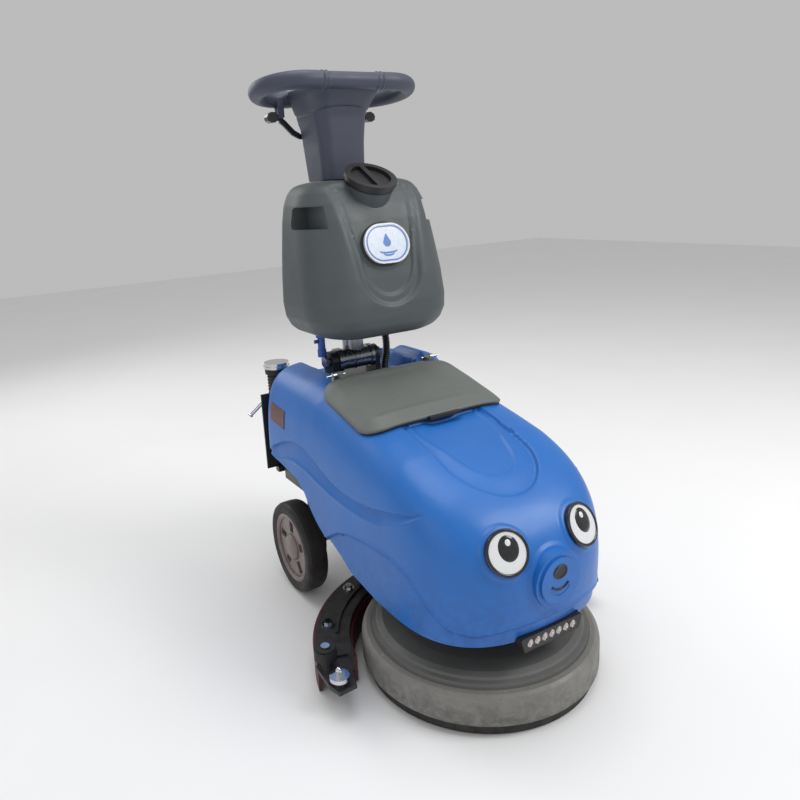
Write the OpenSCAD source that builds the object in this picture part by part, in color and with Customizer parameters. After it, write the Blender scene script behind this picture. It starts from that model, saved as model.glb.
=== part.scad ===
// Compact walk-behind floor scrubber-dryer with a folding handle.
// Millimetres, +Z up. The origin is on the floor, under the middle of the machine's bounding box.
// The front of the machine, with the round brush deck, looks along -Y. The handle is at +Y.

/* [Deck and brush] */
// Outer radius of the brush deck cover
deck_r = 215; // [210:1:218]
// Height of the cover's lower edge above the floor
deck_low = 22; // [18:1:24]
// Radius of the brush
brush_r = 195; // [180:1:198]

/* [Body] */
// Half of the body's width
body_half_w = 190; // [186:1:194]
// Wall thickness of the moulded body
wall = 6; // [4:0.5:7]
// Height of the body's front lower edge
body_low = 153; // [150:1:156]

/* [Wheels] */
// Wheel radius
wheel_r = 100; // [96:1:100]
// Width of one wheel
wheel_w = 48; // [44:1:50]
// Distance from the centre plane to the outer face of a wheel
track_out = 195; // [193:1:198]

/* [Tank lid] */
// Half of the lid's width
lid_half_w = 158; // [150:1:160]
// Thickness of the lid above its seal
lid_t = 12; // [9:1:13]

/* [Clean water tank] */
// Wall thickness of the clean water tank
tank_wall = 5; // [4:0.5:6]
// Radius of the filler cap
cap_r = 52; // [50:1:53]
// Forward tilt of the filler neck
cap_tilt = 29.5; // [27:0.5:31]

/* [Handle] */
// Radius of the column tube
tube_r = 18; // [16:0.5:19]
// Radius of the handlebar tube
bar_r = 16; // [14:1:17]
// Half of the handlebar's overall width
bar_half_w = 179; // [170:1:184]

/* [Squeegee] */
// Outer radius of the curved squeegee
squeegee_r = 306; // [302:1:308]
// Half of the angle that the squeegee covers
squeegee_half = 76; // [70:1:77]

/* [Hidden] */
// The deck's centre lies this far in front of the origin
y0 = 178;
// Handle pivot axis, along X
piv_y = 405; piv_z = 500;
// Axis of the column tube
tube_y = 412;
// Wheel axle
axle_y = 406; axle_z = 100; axle_r = 10;
// Body outline: centres of the front and rear superellipses, its ends, and its exponent
y1 = 0; y2 = 455; y_front = -197; y_rear = 515; pe = 2.6;
// Height of the body's spine along its length
spine = [[-197,350],[-185,353],[-160,357],[-116,373],[-60,397],[0,421],[60,436],[105,446],[190,469],[265,487],[330,493],[470,494],[515,490]];
// Lower edge of the body's sides, from the rear to the front
edge_line = [[530,296],[442,296],[405,291],[346,284],[311,265],[288,238],[260,216],[232,202],[202,194],[172,183],[137,165],[69,156],[20,150],[-300,150],[-300,60],[530,60]];
// Lid
lid_y0 = 86; lid_y1 = 280;
hinge_y = 285; hinge_z = 502;
eps = 0.3;

// ---------- helpers ----------
function flat(l) = [for (a = l) for (b = a) b];
function arc(cx, cy, r, a0, a1, m) = [for (i = [0:m]) let(a = a0 + (a1 - a0)*i/m) [cx + r*cos(a), cy + r*sin(a)]];
// Right half of a rounded rectangle, from the front centre round to the rear centre
function half(hx, ya, yb, ra, rb, m = 6, f = 2, g = 3) = concat(
  [for (i = [0:f-1]) [(hx - ra)*i/f, ya]],
  arc(hx - ra, ya + ra, ra, -90, 0, m),
  [for (i = [1:g-1]) [hx, ya + ra + (yb - rb - ya - ra)*i/g]],
  arc(hx - rb, yb - rb, rb, 0, 90, m),
  [for (i = [f-1:-1:0]) [(hx - rb)*i/f, yb]]);
function whole(h) = concat(h, [for (i = [len(h)-2:-1:1]) [-h[i][0], h[i][1]]]);
function at_z(ring, z) = [for (p = ring) [p[0], p[1], z]];
function sides(k, l, n) = [for (i = [0:n-1]) let(j = (i+1) % n) each [[k*n+i, l*n+i, l*n+j], [k*n+i, l*n+j, k*n+j]]];
function fan(o, n, c) = [for (i = [0:n-1]) [c, o + (i+1) % n, o+i]];
function middle(r) = [0, (min([for (p = r) p[1]]) + max([for (p = r) p[1]]))/2, len([for (p = r) 1]) > 0 ? (min([for (p = r) p[2]]) + max([for (p = r) p[2]]))/2 : 0];
function cap_top(o, n) = let(h = n/2) [for (j = [0:h-1]) each concat(j > 0 ? [[o+j, o+n-j, o+n-j-1]] : [], j < h-1 ? [[o+j, o+n-j-1, o+j+1]] : [])];
function flip(f) = [for (t = f) [t[2], t[1], t[0]]];
// A closed solid through rings that are symmetric about X = 0 and start at the front centre, stacked upwards
module loft(rings) {
  n = len(rings[0]); m = len(rings);
  polyhedron(concat(flat(rings), [middle(rings[0]), middle(rings[m-1])]), concat(flip(fan(0, n, m*n)), [for (k = [0:m-2]) each sides(k, k+1, n)], fan((m-1)*n, n, m*n+1)));
}
// The same, closed by strips across X, for long crowned tops
module loft_long(rings) {
  n = len(rings[0]); m = len(rings);
  polyhedron(flat(rings), concat(flip(cap_top(0, n)), [for (k = [0:m-2]) each sides(k, k+1, n)], cap_top((m-1)*n, n)));
}
// A closed band through rings whose last joins the first
module band(rings) {
  n = len(rings[0]); m = len(rings);
  polyhedron(flat(rings), [for (k = [0:m-1]) each sides(k, (k+1) % m, n)]);
}
module framed() { translate([0, -y0, 0]) children(); }
module both() { children(); mirror([1, 0, 0]) children(); }
module rod_x(r, xa, xb, y, z) { translate([xa, y, z]) rotate([0, 90, 0]) cylinder(r = r, h = xb - xa, $fn = 48); }
module rod_y(r, x, ya, yb, z) { translate([x, ya, z]) rotate([-90, 0, 0]) cylinder(r = r, h = yb - ya, $fn = 48); }
module rod_z(r, x, y, za, zb) { translate([x, y, za]) cylinder(r = r, h = zb - za, $fn = 48); }
module box(a, b) { translate(a) cube(b - a); }
module rbox(a, b, r) { // box with rounded upright edges
  hull() for (x = [a[0]+r, b[0]-r], y = [a[1]+r, b[1]-r]) translate([x, y, a[2]]) cylinder(r = r, h = b[2]-a[2], $fn = 32);
}
// The same, kept exact
module xbox(a, b, r) {
  translate([a[0]+r, a[1], a[2]]) cube([b[0]-a[0]-2*r, b[1]-a[1], b[2]-a[2]]);
  translate([a[0], a[1]+r, a[2]]) cube([b[0]-a[0], b[1]-a[1]-2*r, b[2]-a[2]]);
  for (x = [a[0]+r, b[0]-r], y = [a[1]+r, b[1]-r]) translate([x, y, a[2]]) cylinder(r = r, h = b[2]-a[2], $fn = 40);
}
module ring_z(ro, ri, za, zb) { difference() { rod_z(ro, 0, 0, za, zb); rod_z(ri, 0, 0, za-1, zb+1); } }
// Tube swept along points, with round ends left flat
function unit(v) = v / norm(v);
module sweep(path, r, sidesn = 10, bulge = 0) {
  m = len(path);
  rings = [for (k = [0:m-1]) let(
      t = unit(k == 0 ? path[1]-path[0] : k == m-1 ? path[m-1]-path[m-2] : path[k+1]-path[k-1]),
      u0 = cross(t, abs(t[0]) > 0.9 ? [0, 0, 1] : [1, 0, 0]), u = unit(u0), v = cross(t, u), rr = r + (k % 2 == 0 ? 0 : bulge))
      [for (i = [0:sidesn-1]) let(a = 360*i/sidesn) path[k] + rr*(cos(a)*u + sin(a)*v)]];
  polyhedron(flat(rings), concat([[for (i = [0:sidesn-1]) i]], [for (k = [0:m-2]) each sides(k, k+1, sidesn)], [[for (i = [sidesn-1:-1:0]) (m-1)*sidesn+i]]));
}
// Points of a smooth curve through hand-picked stations
function catmull(p, per) = let(n = len(p)) concat([for (k = [0:n-2]) let(a = p[max(k-1, 0)], b = p[k], c = p[k+1], d = p[min(k+2, n-1)])
  each [for (i = [0:per-1]) let(t = i/per) 0.5*(2*b + (c-a)*t + (2*a-5*b+4*c-d)*t*t + (3*b-a-3*c+d)*t*t*t)]], [p[n-1]]);

// ---------- body surface ----------
function ye(y, gf, gr) = y < y1 ? (y1-y)/(y1-gf) : y > y2 ? (y-y2)/(gr-y2) : 0;
function gauge(x, y, a, gf, gr) = pow(pow(abs(x)/a, pe) + pow(ye(y, gf, gr), pe), 1/pe);
function height(y) = lookup(y, spine);
// Height of the body's outer surface over a point of the plan
function surf(x, y) = let(d = min(0.9999, gauge(x, y, body_half_w, y_front, y_rear)),
    n = y < y1 && d > 0.001 ? 4 + 2*pow(abs(x)/(body_half_w*d), pe) : 6)
  body_low + (height(y) - body_low)*pow(1 - pow(d, n), 1/n);
// Right half of the outline, with the spine point that each outline point is drawn in towards
function outline(a, gf, gr) = concat(
  [for (i = [0:12]) let(t = 90*i/12) [[a*pow(sin(t), 2/pe), y1 + (gf-y1)*pow(cos(t), 2/pe)], [0, y1], 4 + 2*pow(sin(t), 2)]],
  [for (i = [1:8]) [[a, y1 + (y2-y1)*i/9], [0, y1 + (y2-y1)*i/9], 6]],
  [for (i = [0:6]) let(t = 90*i/6) [[a*pow(cos(t), 2/pe), y2 + (gr-y2)*pow(sin(t), 2/pe)], [0, y2], 6]]);
phis = [0, 0.3, 2, 8, 17, 28, 40, 52, 64, 75, 84, 88.6, 89.95];
// The body's front leans back below the nose
function tuck(y, z) = y < 0 && z < 250 ? 10*pow((250-z)/97, 2)*pow(y/y_front, 2) : 0;
module skin(off, zlow) {
  a = body_half_w - off; gf = y_front + off; gr = y_rear - off;
  h = outline(a, gf, gr); J = len(h) - 1;
  o = concat(h, [for (i = [J-1:-1:1]) [[-h[i][0][0], h[i][0][1]], h[i][1], h[i][2]]]);
  rings = [for (q = phis) [for (b = o) let(n = b[2], s = pow(cos(q), 2/n), k = pow(sin(q), 2/n),
      x = b[1][0] + s*(b[0][0]-b[1][0]), y = b[1][1] + s*(b[0][1]-b[1][1]),
      z = q == 0 ? zlow : body_low + (height(y) - off - body_low)*k) [x, y + tuck(y, z), z]]];
  loft_long(rings);
}

// ---------- chassis ----------
module chassis_frame() framed() color([0.09, 0.09, 0.10]) {
  difference() { // battery tray
    xbox([-155, 298, 228], [155, 500, 295], 14);
    xbox([-151, 302, 232], [151, 496, 296], 10);
    for (x = [-60, 60]) rod_z(2, x, 360, 220, 240);
  }
  for (s = [-1, 1]) { // side rails with axle brackets
    translate([s*118-12, 60, 206]) cube([24, 430, 22]);
    difference() {
      union() { translate([s*124-4, 372, 100]) cube([8, 68, 108]); rod_x(34, s*124-4, s*124+4, axle_y, axle_z); }
      rod_x(axle_r, s*124-10, s*124+10, axle_y, axle_z);
    }
    translate([s*118-12, 204, 96]) cube([24, 26, 111]); // deck arms
    translate([s*118-12, 130, 96]) cube([24, 80, 10]);
  }
  translate([-118, 198, 206]) cube([236, 24, 22]); // cross-members
  translate([-118, 254, 200]) cube([236, 28, 28]);
  for (x = [-35, 35]) rod_z(6, x, 268, 96, 204); // squeegee guide posts
  translate([-118, 60, 206]) cube([236, 16, 22]);
  translate([-118, 120, 228]) cube([236, 16, 17]); // tank rest
  translate([-186, 512, 250]) cube([76, 4, 175]); // rear bracket for the lift lever and the drain hose
  translate([-165, 499.5, 240]) cube([55, 16.5, 12]);
  rod_y(3, -174, 514, 533, 408);
}
module body_shell() framed() color([0.10, 0.33, 0.80]) difference() {
  union() {
    difference() { skin(0, body_low); skin(wall, body_low - 30); }
    intersection() { skin(0, body_low); union() {
      rbox([-103, 279, 452], [108, 530, 520], 26);                          // trough for the folding column
      difference() { rbox([-146, 92, 380], [146, 274, 520], 30); rbox([-133, 104, 370], [133, 264, 530], 24); // rim of the tank mouth
        translate([0, 0, -14]) skin(0, body_low); } } }
    // raised shoulder at the right of the column
    hull() for (x = [122, 162], y = [316, 430], z = [440, 493]) translate([x, y, z - (y < 350 ? 4 : 0)]) sphere(r = 17, $fn = 32);
    hull() for (s = [-1, 1]) translate([s*52, -176, 176]) rotate([90, 0, 0]) cylinder(r = 10, h = 6, $fn = 32); // backing of the lamp bar
  }
  translate([0, -170, 250]) rotate([90, 0, 0]) cylinder(r = 46.3, h = 60, $fn = 64); // seat of the nose boss
  on_eye() translate([0, 0, -13]) cylinder(r = 36.4, h = 30, $fn = 64); // seats of the eye bezels
  rbox([-133, 104, 300], [133, 264, 560], 24);                              // tank mouth
  rbox([-97, 285, 460], [102, 560, 560], 20);                               // inside of the trough
  hull() for (s = [-1, 1], z = [120, 160]) translate([s*(z > 140 ? 64 : 56), -150, z]) rotate([90, 0, 0]) cylinder(r = 4, h = 80, $fn = 32); // lamp bar recess
  hull() for (s = [-1, 1]) translate([s*32, 74, 446]) rotate([-74, 0, 0]) cylinder(r = 7, h = 22, $fn = 32); // finger notch under the lid's front edge
  translate([-400, 0, 0]) rotate([90, 0, 90]) linear_extrude(800) polygon(edge_line);
  hull() for (z = [232, 300]) translate([0, 520, z]) rotate([90, 0, 0]) cylinder(r = 40, h = 30, $fn = 32); // rear access
}
module recovery_tank() framed() color([0.20, 0.21, 0.22]) difference() {
  union() {
    difference() {
      xbox([-128, 108, 245], [128, 260, 440], 22);
      translate([-300, 108, 409]) rotate([15.4, 0, 0]) translate([0, -100, 0]) cube([600, 500, 200]);
    }
    translate([0, 108, 404]) rotate([15.4, 0, 0]) difference() { translate([-131, -3, 0]) cube([262, 158, 4.5]); translate([-120, 8, -1]) cube([240, 140, 7]); }
  }
  xbox([-124, 112, 250], [124, 256, 470], 18);
  rod_y(9.1, -70, 250, 270, 348); // vacuum port
  rod_y(9, -90, 250, 270, 408); // hose port
}
module battery_pack() framed() color([0.13, 0.14, 0.16]) {
  for (s = [-1, 1]) {
    translate([s*75-70, 306, 232.5]) cube([140, 184, 150]);
    translate([s*75-66, 310, 382.5]) cube([132, 176, 8]);
    for (x = [-45, 45]) rod_z(7, s*75 + x, 330, 390, 400);
  }
}
module vacuum_motor() framed() color([0.30, 0.31, 0.33]) {
  rod_z(44, -60, 30, 262, 340); rod_z(30, -60, 30, 340, 366); rod_z(50, -60, 30, 250, 262); translate([-76, -20, 228]) cube([32, 110, 22]);
}
module brush_gearmotor() framed() color([0.33, 0.34, 0.36]) difference() {
  union() { rod_z(70, 0, 0, 100, 110); rod_z(54, 0, 0, 110, 160); rod_z(46, 0, 0, 160, 222); for (a = [45:90:315]) rotate(a) rod_z(7, 61, 0, 108, 116); }
  rod_z(12.06, 0, 0, 90, 135);
}
module deck_housing() framed() color([0.47, 0.46, 0.43]) rotate_extrude($fn = 96) polygon([
  [deck_r-8, deck_low], [deck_r, deck_low], [deck_r, 60], [deck_r-1, 65], [deck_r-4, 70], [deck_r-9, 74], [deck_r-17, 75], [deck_r-17, 69], [deck_r-11, 66], [deck_r-8, 58]]);
module deck_upper() framed() color([0.30, 0.30, 0.29]) difference() {
  rotate_extrude($fn = 96) polygon([[14, 90], [14, 100], [72, 100], [74, 96], [150, 96], [176, 93], [185, 89], [188, 85.5], [195, 83.5], [196, 75], [deck_r-17, 75], [deck_r-17, 69], [190, 69], [186, 79], [178, 84], [150, 90]]);
  for (a = [45:90:315]) rotate(a) rod_z(3, 61, 0, 80, 99.9);
}
module splash_skirt() framed() color([0.05, 0.05, 0.05]) ring_z(deck_r - 8, deck_r - 12.5, 1.6, 56);
module rear_axle() framed() color([0.62, 0.63, 0.65]) { rod_x(axle_r, -186, 186, axle_y, axle_z); for (s = [-1, 1]) rod_x(15, s > 0 ? 130 : -134, s > 0 ? 134 : -130, axle_y, axle_z); }
module headlight_housing() framed() color([0.04, 0.04, 0.05]) difference() {
  hull() for (s = [-1, 1], z = [139, 158.5]) translate([s*(z > 150 ? 62 : 56), -168, z]) rotate([90, 0, 0]) cylinder(r = 3, h = 22, $fn = 32);
  for (i = [-3:3]) rod_y(6.6, i*15.2, -200, -182, 148.5);
}
module headlight_lenses() framed() color([0.92, 0.93, 0.95]) for (i = [-3:3]) { rod_y(6.4, i*15.2, -188.5, -182.2, 148.5); translate([i*15.2, -188.5, 148.5]) scale(1) sphere(r = 3.2, $fn = 32); }
// A frame whose +Z is square to the body at the eyes
eye_x = 78; eye_y = -171;
eye_nrm = let(e = 2, sx = (surf(eye_x+e, eye_y) - surf(eye_x-e, eye_y))/(2*e), sy = (surf(eye_x, eye_y+e) - surf(eye_x, eye_y-e))/(2*e)) unit([-sx, -sy, 1]);
module on_eye() { both() translate([eye_x, eye_y, surf(eye_x, eye_y)]) rotate([0, 0, atan2(eye_nrm[1], eye_nrm[0])]) rotate([0, acos(eye_nrm[2]), 0]) children(); }
module eye_bezels() framed() color([0.08, 0.09, 0.14]) on_eye() difference() { translate([0, 0, -12]) cylinder(r = 36, h = 17.5, $fn = 64); translate([0, 0, 3]) cylinder(r = 33, h = 10, $fn = 64); }
module eye_discs() framed() color([0.93, 0.94, 0.95]) on_eye() { translate([0, 0, 3]) cylinder(r = 32.9, h = 2.6, $fn = 64); }
module nose_boss() framed() color([0.12, 0.36, 0.82]) difference() {
  translate([0, -197, 250]) rotate([90, 0, 0]) union() {
    translate([0, 0, -12]) cylinder(r = 46, h = 17, $fn = 64);
    cylinder(r = 38, h = 9, $fn = 64);
  }
  rod_y(8, 0, -220, -196, 266);
  difference() { translate([0, -205.2, 250]) rotate([90, 0, 0]) difference() { cylinder(r = 24, h = 6, $fn = 64); translate([0, 0, -1]) cylinder(r = 21.6, h = 8, $fn = 64); }
    translate([-60, -230, 238]) cube([120, 60, 60]); }
}
module float_valve() framed() color([0.85, 0.85, 0.83]) {
  difference() { rod_z(16, -70, 232, 300, 360); rod_z(13, -70, 232, 296, 340); for (a = [0:60:300]) translate([-70, 232, 304]) rotate(a) translate([8, -3, 0]) cube([12, 6, 28]); }
  rod_y(9, -70, 240, 256, 348); translate([-70, 232, 312]) sphere(r = 11.5, $fn = 40);
}
// Vacuum hose along the lower left edge, down to the squeegee
hose_stations = [[-90, 261.6, 408], [-90, 282, 409], [-98, 320, 421], [-128, 380, 426], [-150, 425, 424], [-161, 452, 392], [-166, 455, 345], [-169, 438, 308], [-169, 408, 288], [-169, 360, 278], [-169, 322, 259], [-167, 293, 228], [-158, 274, 192], [-140, 262, 156], [-118, 257, 124], [-99, 254, 106], [-92, 253, 90], [-92, 253, 76], [-92, 253, 64]];
module suction_hose() framed() color([0.07, 0.07, 0.07]) sweep(catmull(hose_stations, 5), 11, 10, 1.5);
module drain_hose() framed() color([0.06, 0.06, 0.07]) difference() {
  union() {
    rod_z(22, -131, 541, 250, 470);
    for (z = [270:20:450]) rod_z(23, -131, 541, z, z+8);
    rod_z(27, -131, 541, 462, 474);
    for (z = [300, 390]) translate([-143, 516, z]) cube([24, 12, 16]);
  }
  rod_z(19, -131, 541, 448, 476);
}
module drain_cap() framed() color([0.75, 0.76, 0.78]) { rod_z(30, -131, 541, 474.3, 480); rod_z(28, -131, 541, 480, 487); rod_z(18.7, -131, 541, 452, 475); }
module pivot_bracket() framed() color([0.07, 0.07, 0.08]) difference() {
  union() {
    translate([-78, 372, 460]) cube([142, 66, 7]);
    translate([-66, 383, 466]) cube([16, 44, 34]); rod_x(22, -66, -50, piv_y, piv_z);
    translate([38, 383, 466]) cube([12, 44, 34]); rod_x(22, 38, 50, piv_y, piv_z);
  }
  rod_x(9, -80, 80, piv_y, piv_z);
}
module pivot_pin() framed() color([0.55, 0.56, 0.58]) { rod_x(9, -70, 54, piv_y, piv_z); for (x = [-73.5, 57.5]) translate([x, piv_y, piv_z]) rotate([0, 90, 0]) cylinder(r = 14, h = 7, center = true, $fn = 6); }
// Cable sleeve past the pivot, from the body up to the tank
conduit_stations = [[74, 405, 460.6], [74, 405, 472], [78, 401, 502], [78, 401, 530], [76, 405, 555], [76, 405, 565.3]];
module cable_conduit() framed() color([0.05, 0.05, 0.05]) sweep(catmull(conduit_stations, 5), 7, 10, 1.4);
module charge_socket() framed() color([0.05, 0.05, 0.06]) { translate([-22, 515.1, 354]) cube([44, 4, 44]); rod_y(15, 0, 518, 525, 376); }
module lid_hinge() framed() color([0.55, 0.56, 0.58]) both() {
  rod_x(3, 92, 132, hinge_y, hinge_z);
  translate([112, hinge_y-4, surf(115, 285)+0.1]) cube([8, 8, hinge_z - surf(115, 285)]);
  rod_x(6, 112, 120, hinge_y, hinge_z);
}
module frame_bolts() framed() color([0.6, 0.6, 0.62]) {
  for (a = [45:90:315]) rotate(a) translate([61, 0, 116]) cylinder(r = 5.5, h = 5, $fn = 6);
  both() for (y = [150, 186]) translate([118, y, 106]) cylinder(r = 6.5, h = 6, $fn = 6);
  for (x = [-73, 59], y = [377, 433]) translate([x, y, 467]) cylinder(r = 4, h = 4, $fn = 6);
}

// ---------- brush ----------
module brush_plate() framed() color([0.20, 0.22, 0.25]) difference() { union() { rod_z(brush_r, 0, 0, 30, 42); rod_z(38, 0, 0, 42, 66); for (a = [0:60:300]) rotate(a) translate([36, -4, 41]) cube([brush_r - 60, 8, 12]); } rod_z(12, 0, 0, 20, 70); for (a = [0:60:300]) rotate(a + 30) rod_z(14, 78, 0, 20, 50); }
module brush_bristles() framed() color([0.16, 0.22, 0.42]) { ring_z(brush_r - 3, brush_r - 33, 0, 30); ring_z(brush_r - 60, brush_r - 88, 0, 30); }
module drive_shaft() framed() color([0.62, 0.63, 0.65]) { rod_z(12, 0, 0, 32, 128); rod_z(22, 0, 0, 66, 72); }

// ---------- wheels ----------
module tyre() color([0.05, 0.05, 0.05]) translate([0, axle_y, axle_z]) rotate([0, 90, 0]) rotate_extrude($fn = 96) translate([0, track_out - wheel_w]) polygon([
  [76, 2], [90, 0], [96, 2], [wheel_r-0.8, 8], [wheel_r, 16], [wheel_r, wheel_w-16], [wheel_r-0.8, wheel_w-8], [96, wheel_w-2], [90, wheel_w], [76, wheel_w-2]]);
module rim() color([0.42, 0.38, 0.37]) difference() {
  translate([0, axle_y, axle_z]) rotate([0, 90, 0]) union() {
    translate([0, 0, track_out - wheel_w + 3]) rotate_extrude($fn = 96) polygon([[66, 0], [76, 0], [76, wheel_w-6], [71, wheel_w-5], [66, wheel_w-9]]);
    translate([0, 0, track_out - wheel_w + 1]) cylinder(r = 22, h = wheel_w - 10, $fn = 64);
    translate([0, 0, track_out - 16]) cylinder(r = 67, h = 7, $fn = 96);
    for (a = [0:72:288]) rotate(a) translate([18, -5, track_out - wheel_w + 8]) cube([50, 10, 24]);
  }
  rod_x(axle_r + 0.06, 100, 220, axle_y, axle_z);
  translate([track_out - 30, axle_y, axle_z]) rotate([0, 90, 0]) for (a = [36:72:324]) rotate(a) translate([34, -9, 13]) cube([26, 18, 9.2]);
}
module hubcap() color([0.40, 0.36, 0.36]) difference() {
  translate([track_out - 9, axle_y, axle_z]) rotate([0, 90, 0]) rotate_extrude($fn = 64) polygon([[0, 0], [29, 0], [29, 3], [26, 7], [18, 9.6], [0, 10.4]]);
  rod_x(16, 100, track_out - 4, axle_y, axle_z);
}
module tyre_right() framed() tyre();
module rim_right() framed() rim();
module hubcap_right() framed() hubcap();
module tyre_left() framed() mirror([1, 0, 0]) tyre();
module rim_left() framed() mirror([1, 0, 0]) rim();
module hubcap_left() framed() mirror([1, 0, 0]) hubcap();

// ---------- tank lid ----------
function lid_ring(d, up) = [for (p = whole(half(lid_half_w - d, lid_y0 + d, lid_y1 - d, max(42 - d, 8), max(40 - d, 8), 7, 4, 6))) [p[0], p[1], surf(p[0], p[1]) + up]];
module tank_lid() framed() color([0.40, 0.42, 0.40]) {
  difference() {
    loft([lid_ring(60, 5), lid_ring(30, 5), lid_ring(12, 5), lid_ring(2, 5), lid_ring(0, 5), lid_ring(0, lid_t - 3), lid_ring(3, lid_t), lid_ring(20, lid_t + 5), lid_ring(26, lid_t + 5.6), lid_ring(34, lid_t + 4.6), lid_ring(60, lid_t + 3.6)]);
    both() translate([111.4, 276, 480]) cube([9.2, 30, 60]); // room for the hinge ears
  }
  both() difference() { // hinge knuckles
    union() { rod_x(6, 98, 111, hinge_y, hinge_z); translate([98, hinge_y-14, hinge_z-3]) cube([13, 14, 6]); }
    rod_x(3.06, 90, 120, hinge_y, hinge_z);
  }
}
module lid_gasket() framed() color([0.04, 0.04, 0.04]) band([lid_ring(12, 1.2), lid_ring(2, 1.2), lid_ring(2, 4.6), lid_ring(12, 4.6)]);
module lid_latch() framed() color([0.04, 0.04, 0.05]) translate([-34, 77, surf(0, 78) + 5.6]) cube([68, 9, 5]);

// ---------- squeegee ----------
module wedge(ri, ro, za, zb, hang) { // arc round the deck, centred on +Y
  translate([0, 0, za]) rotate(90 - hang) rotate_extrude(angle = 2*hang, $fn = 144) translate([ri, 0]) square([ro - ri, zb - za]);
}
module squeegee_body() framed() color([0.05, 0.05, 0.05]) difference() {
  union() {
    wedge(238, squeegee_r - 6, 48, 62, squeegee_half);
    difference() { wedge(258, 264, 61, 66, squeegee_half - 14); box([-64, 230, 50], [64, 300, 70]); }
    wedge(squeegee_r - 14, squeegee_r - 6, 24, 48.2, squeegee_half); wedge(238, 246, 24, 48.2, squeegee_half);
    both() translate([0, 0, 50]) linear_extrude(8) polygon([[-286, 74], [-240, 66], [-266, -14], [-300, -16], [-306, 10], [-303, 66], [-292, 66]]); // end brackets
    rod_z(16, -92, 253, 60, 84); // hose socket
  }
  rod_z(13.3, -92, 253, 63, 90); rod_z(9.5, -92, 253, 20, 80);
}
module squeegee_rear_blade() framed() color([0.32, 0.07, 0.07]) wedge(squeegee_r - 5.85, squeegee_r, 1.5, 58, squeegee_half + 0.6);
module squeegee_front_blade() framed() color([0.32, 0.07, 0.07]) wedge(233, 238, 2.5, 52, squeegee_half);
module squeegee_clamps() framed() color([0.78, 0.79, 0.80]) {
  both() {
    translate([-288, 5, 58]) cylinder(r = 9, h = 8, $fn = 48); translate([-288, 5, 66]) cylinder(r = 17, h = 7, $fn = 64); translate([-288, 5, 73]) cylinder(r = 6, h = 10, $fn = 6); translate([-288, 5, 82]) sphere(r = 5.6, $fn = 40);
    rod_z(4, -286, 57, 58, 97); rod_z(8, -286, 57, 58, 70.7); rod_z(8, -286, 57, 95.3, 98); // roller stud
  }
  for (a = [-56, -30, 30, 56]) rotate(a) translate([0, 279, 62]) { cylinder(r = 8, h = 9, $fn = 6); cylinder(r = 12, h = 3, $fn = 48); }
}
module squeegee_carriage() framed() color([0.10, 0.10, 0.11]) difference() {
  union() { xbox([-52, 252, 62], [52, 284, 130], 6); xbox([-60, 246, 62], [60, 292, 70], 6); }
  for (x = [-35, 35]) rod_z(6.06, x, 268, 50, 140);
}
module bumper_roller() difference() { union() { rod_z(20, -286, 57, 74, 92); rod_z(17, -286, 57, 71, 95); } rod_z(4.06, -286, 57, 60, 100); }
module bumper_roller_left() framed() color([0.12, 0.13, 0.13]) bumper_roller();
module bumper_roller_right() framed() color([0.12, 0.13, 0.13]) mirror([1, 0, 0]) bumper_roller();

// ---------- lift lever ----------
module lift_lever() framed() color([0.72, 0.73, 0.75]) difference() { // wire loop on a barrel
  translate([-174, 517, 408]) union() {
    rotate([-90, 0, 0]) cylinder(r = 6, h = 14, $fn = 48);
    rotate([0, -37, 0]) {
      for (y = [2.6, 11.4]) translate([-46, y, 0]) rotate([0, 90, 0]) cylinder(r = 2.5, h = 42, $fn = 32);
      translate([-46, 0, 0]) rotate([-90, 0, 0]) cylinder(r = 3.2, h = 14, $fn = 32);
    }
  }
  rod_y(3.05, -174, 510, 540, 408);
}

// ---------- handle ----------
module column_tube() framed() color([0.10, 0.10, 0.11]) difference() { rod_z(tube_r, 0, tube_y, 524, 1046); rod_z(tube_r - 3, 0, tube_y, 530, 1050); }
module pivot_barrel() framed() color([0.66, 0.67, 0.69]) difference() {
  union() { rod_x(23, -38, 37.6, piv_y, piv_z); rod_x(26, -49.6, -38, piv_y, piv_z); rod_x(25, 30, 37.6, piv_y, piv_z); rod_x(24.5, -10, -4, piv_y, piv_z); rod_z(23, 0, tube_y, 505, 542); }
  rod_x(9.06, -60, 60, piv_y, piv_z);
  rod_z(tube_r, 0, tube_y, 524, 560);
}
// Clean water tank: [height, half width, front, rear, front radius, rear radius]
tank_rows = [[569, 92, 268, 412, 40, 26], [572, 112, 254, 421, 60, 30], [580, 132, 240, 429, 72, 36], [592, 146, 232, 434, 80, 40], [612, 156, 228, 437, 84, 42], [640, 159, 229, 438, 86, 42],
  [690, 157, 237, 438, 86, 42], [740, 153, 248, 438, 86, 42], [800, 147, 264, 438, 82, 42], [832, 141, 276, 438, 78, 42], [852, 133, 286, 437, 74, 42], [864, 122, 295, 435, 66, 40], [871, 106, 306, 431, 56, 36], [874, 84, 322, 424, 40, 30]];
module tank_solid(off) {
  loft([for (r = tank_rows) at_z(whole(half(r[1]-off, r[2]+off, r[3]-off, max(r[4]-off, 8), max(r[5]-off, 8), 6, 2, 2)), r[0] + (r[0] < 700 ? off : -off)*(r[0] < 590 ? 1 : r[0] > 860 ? 1 : 0))]);
}
module on_cap() { translate([0, 296, 880]) rotate([cap_tilt, 0, 0]) children(); }
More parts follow.
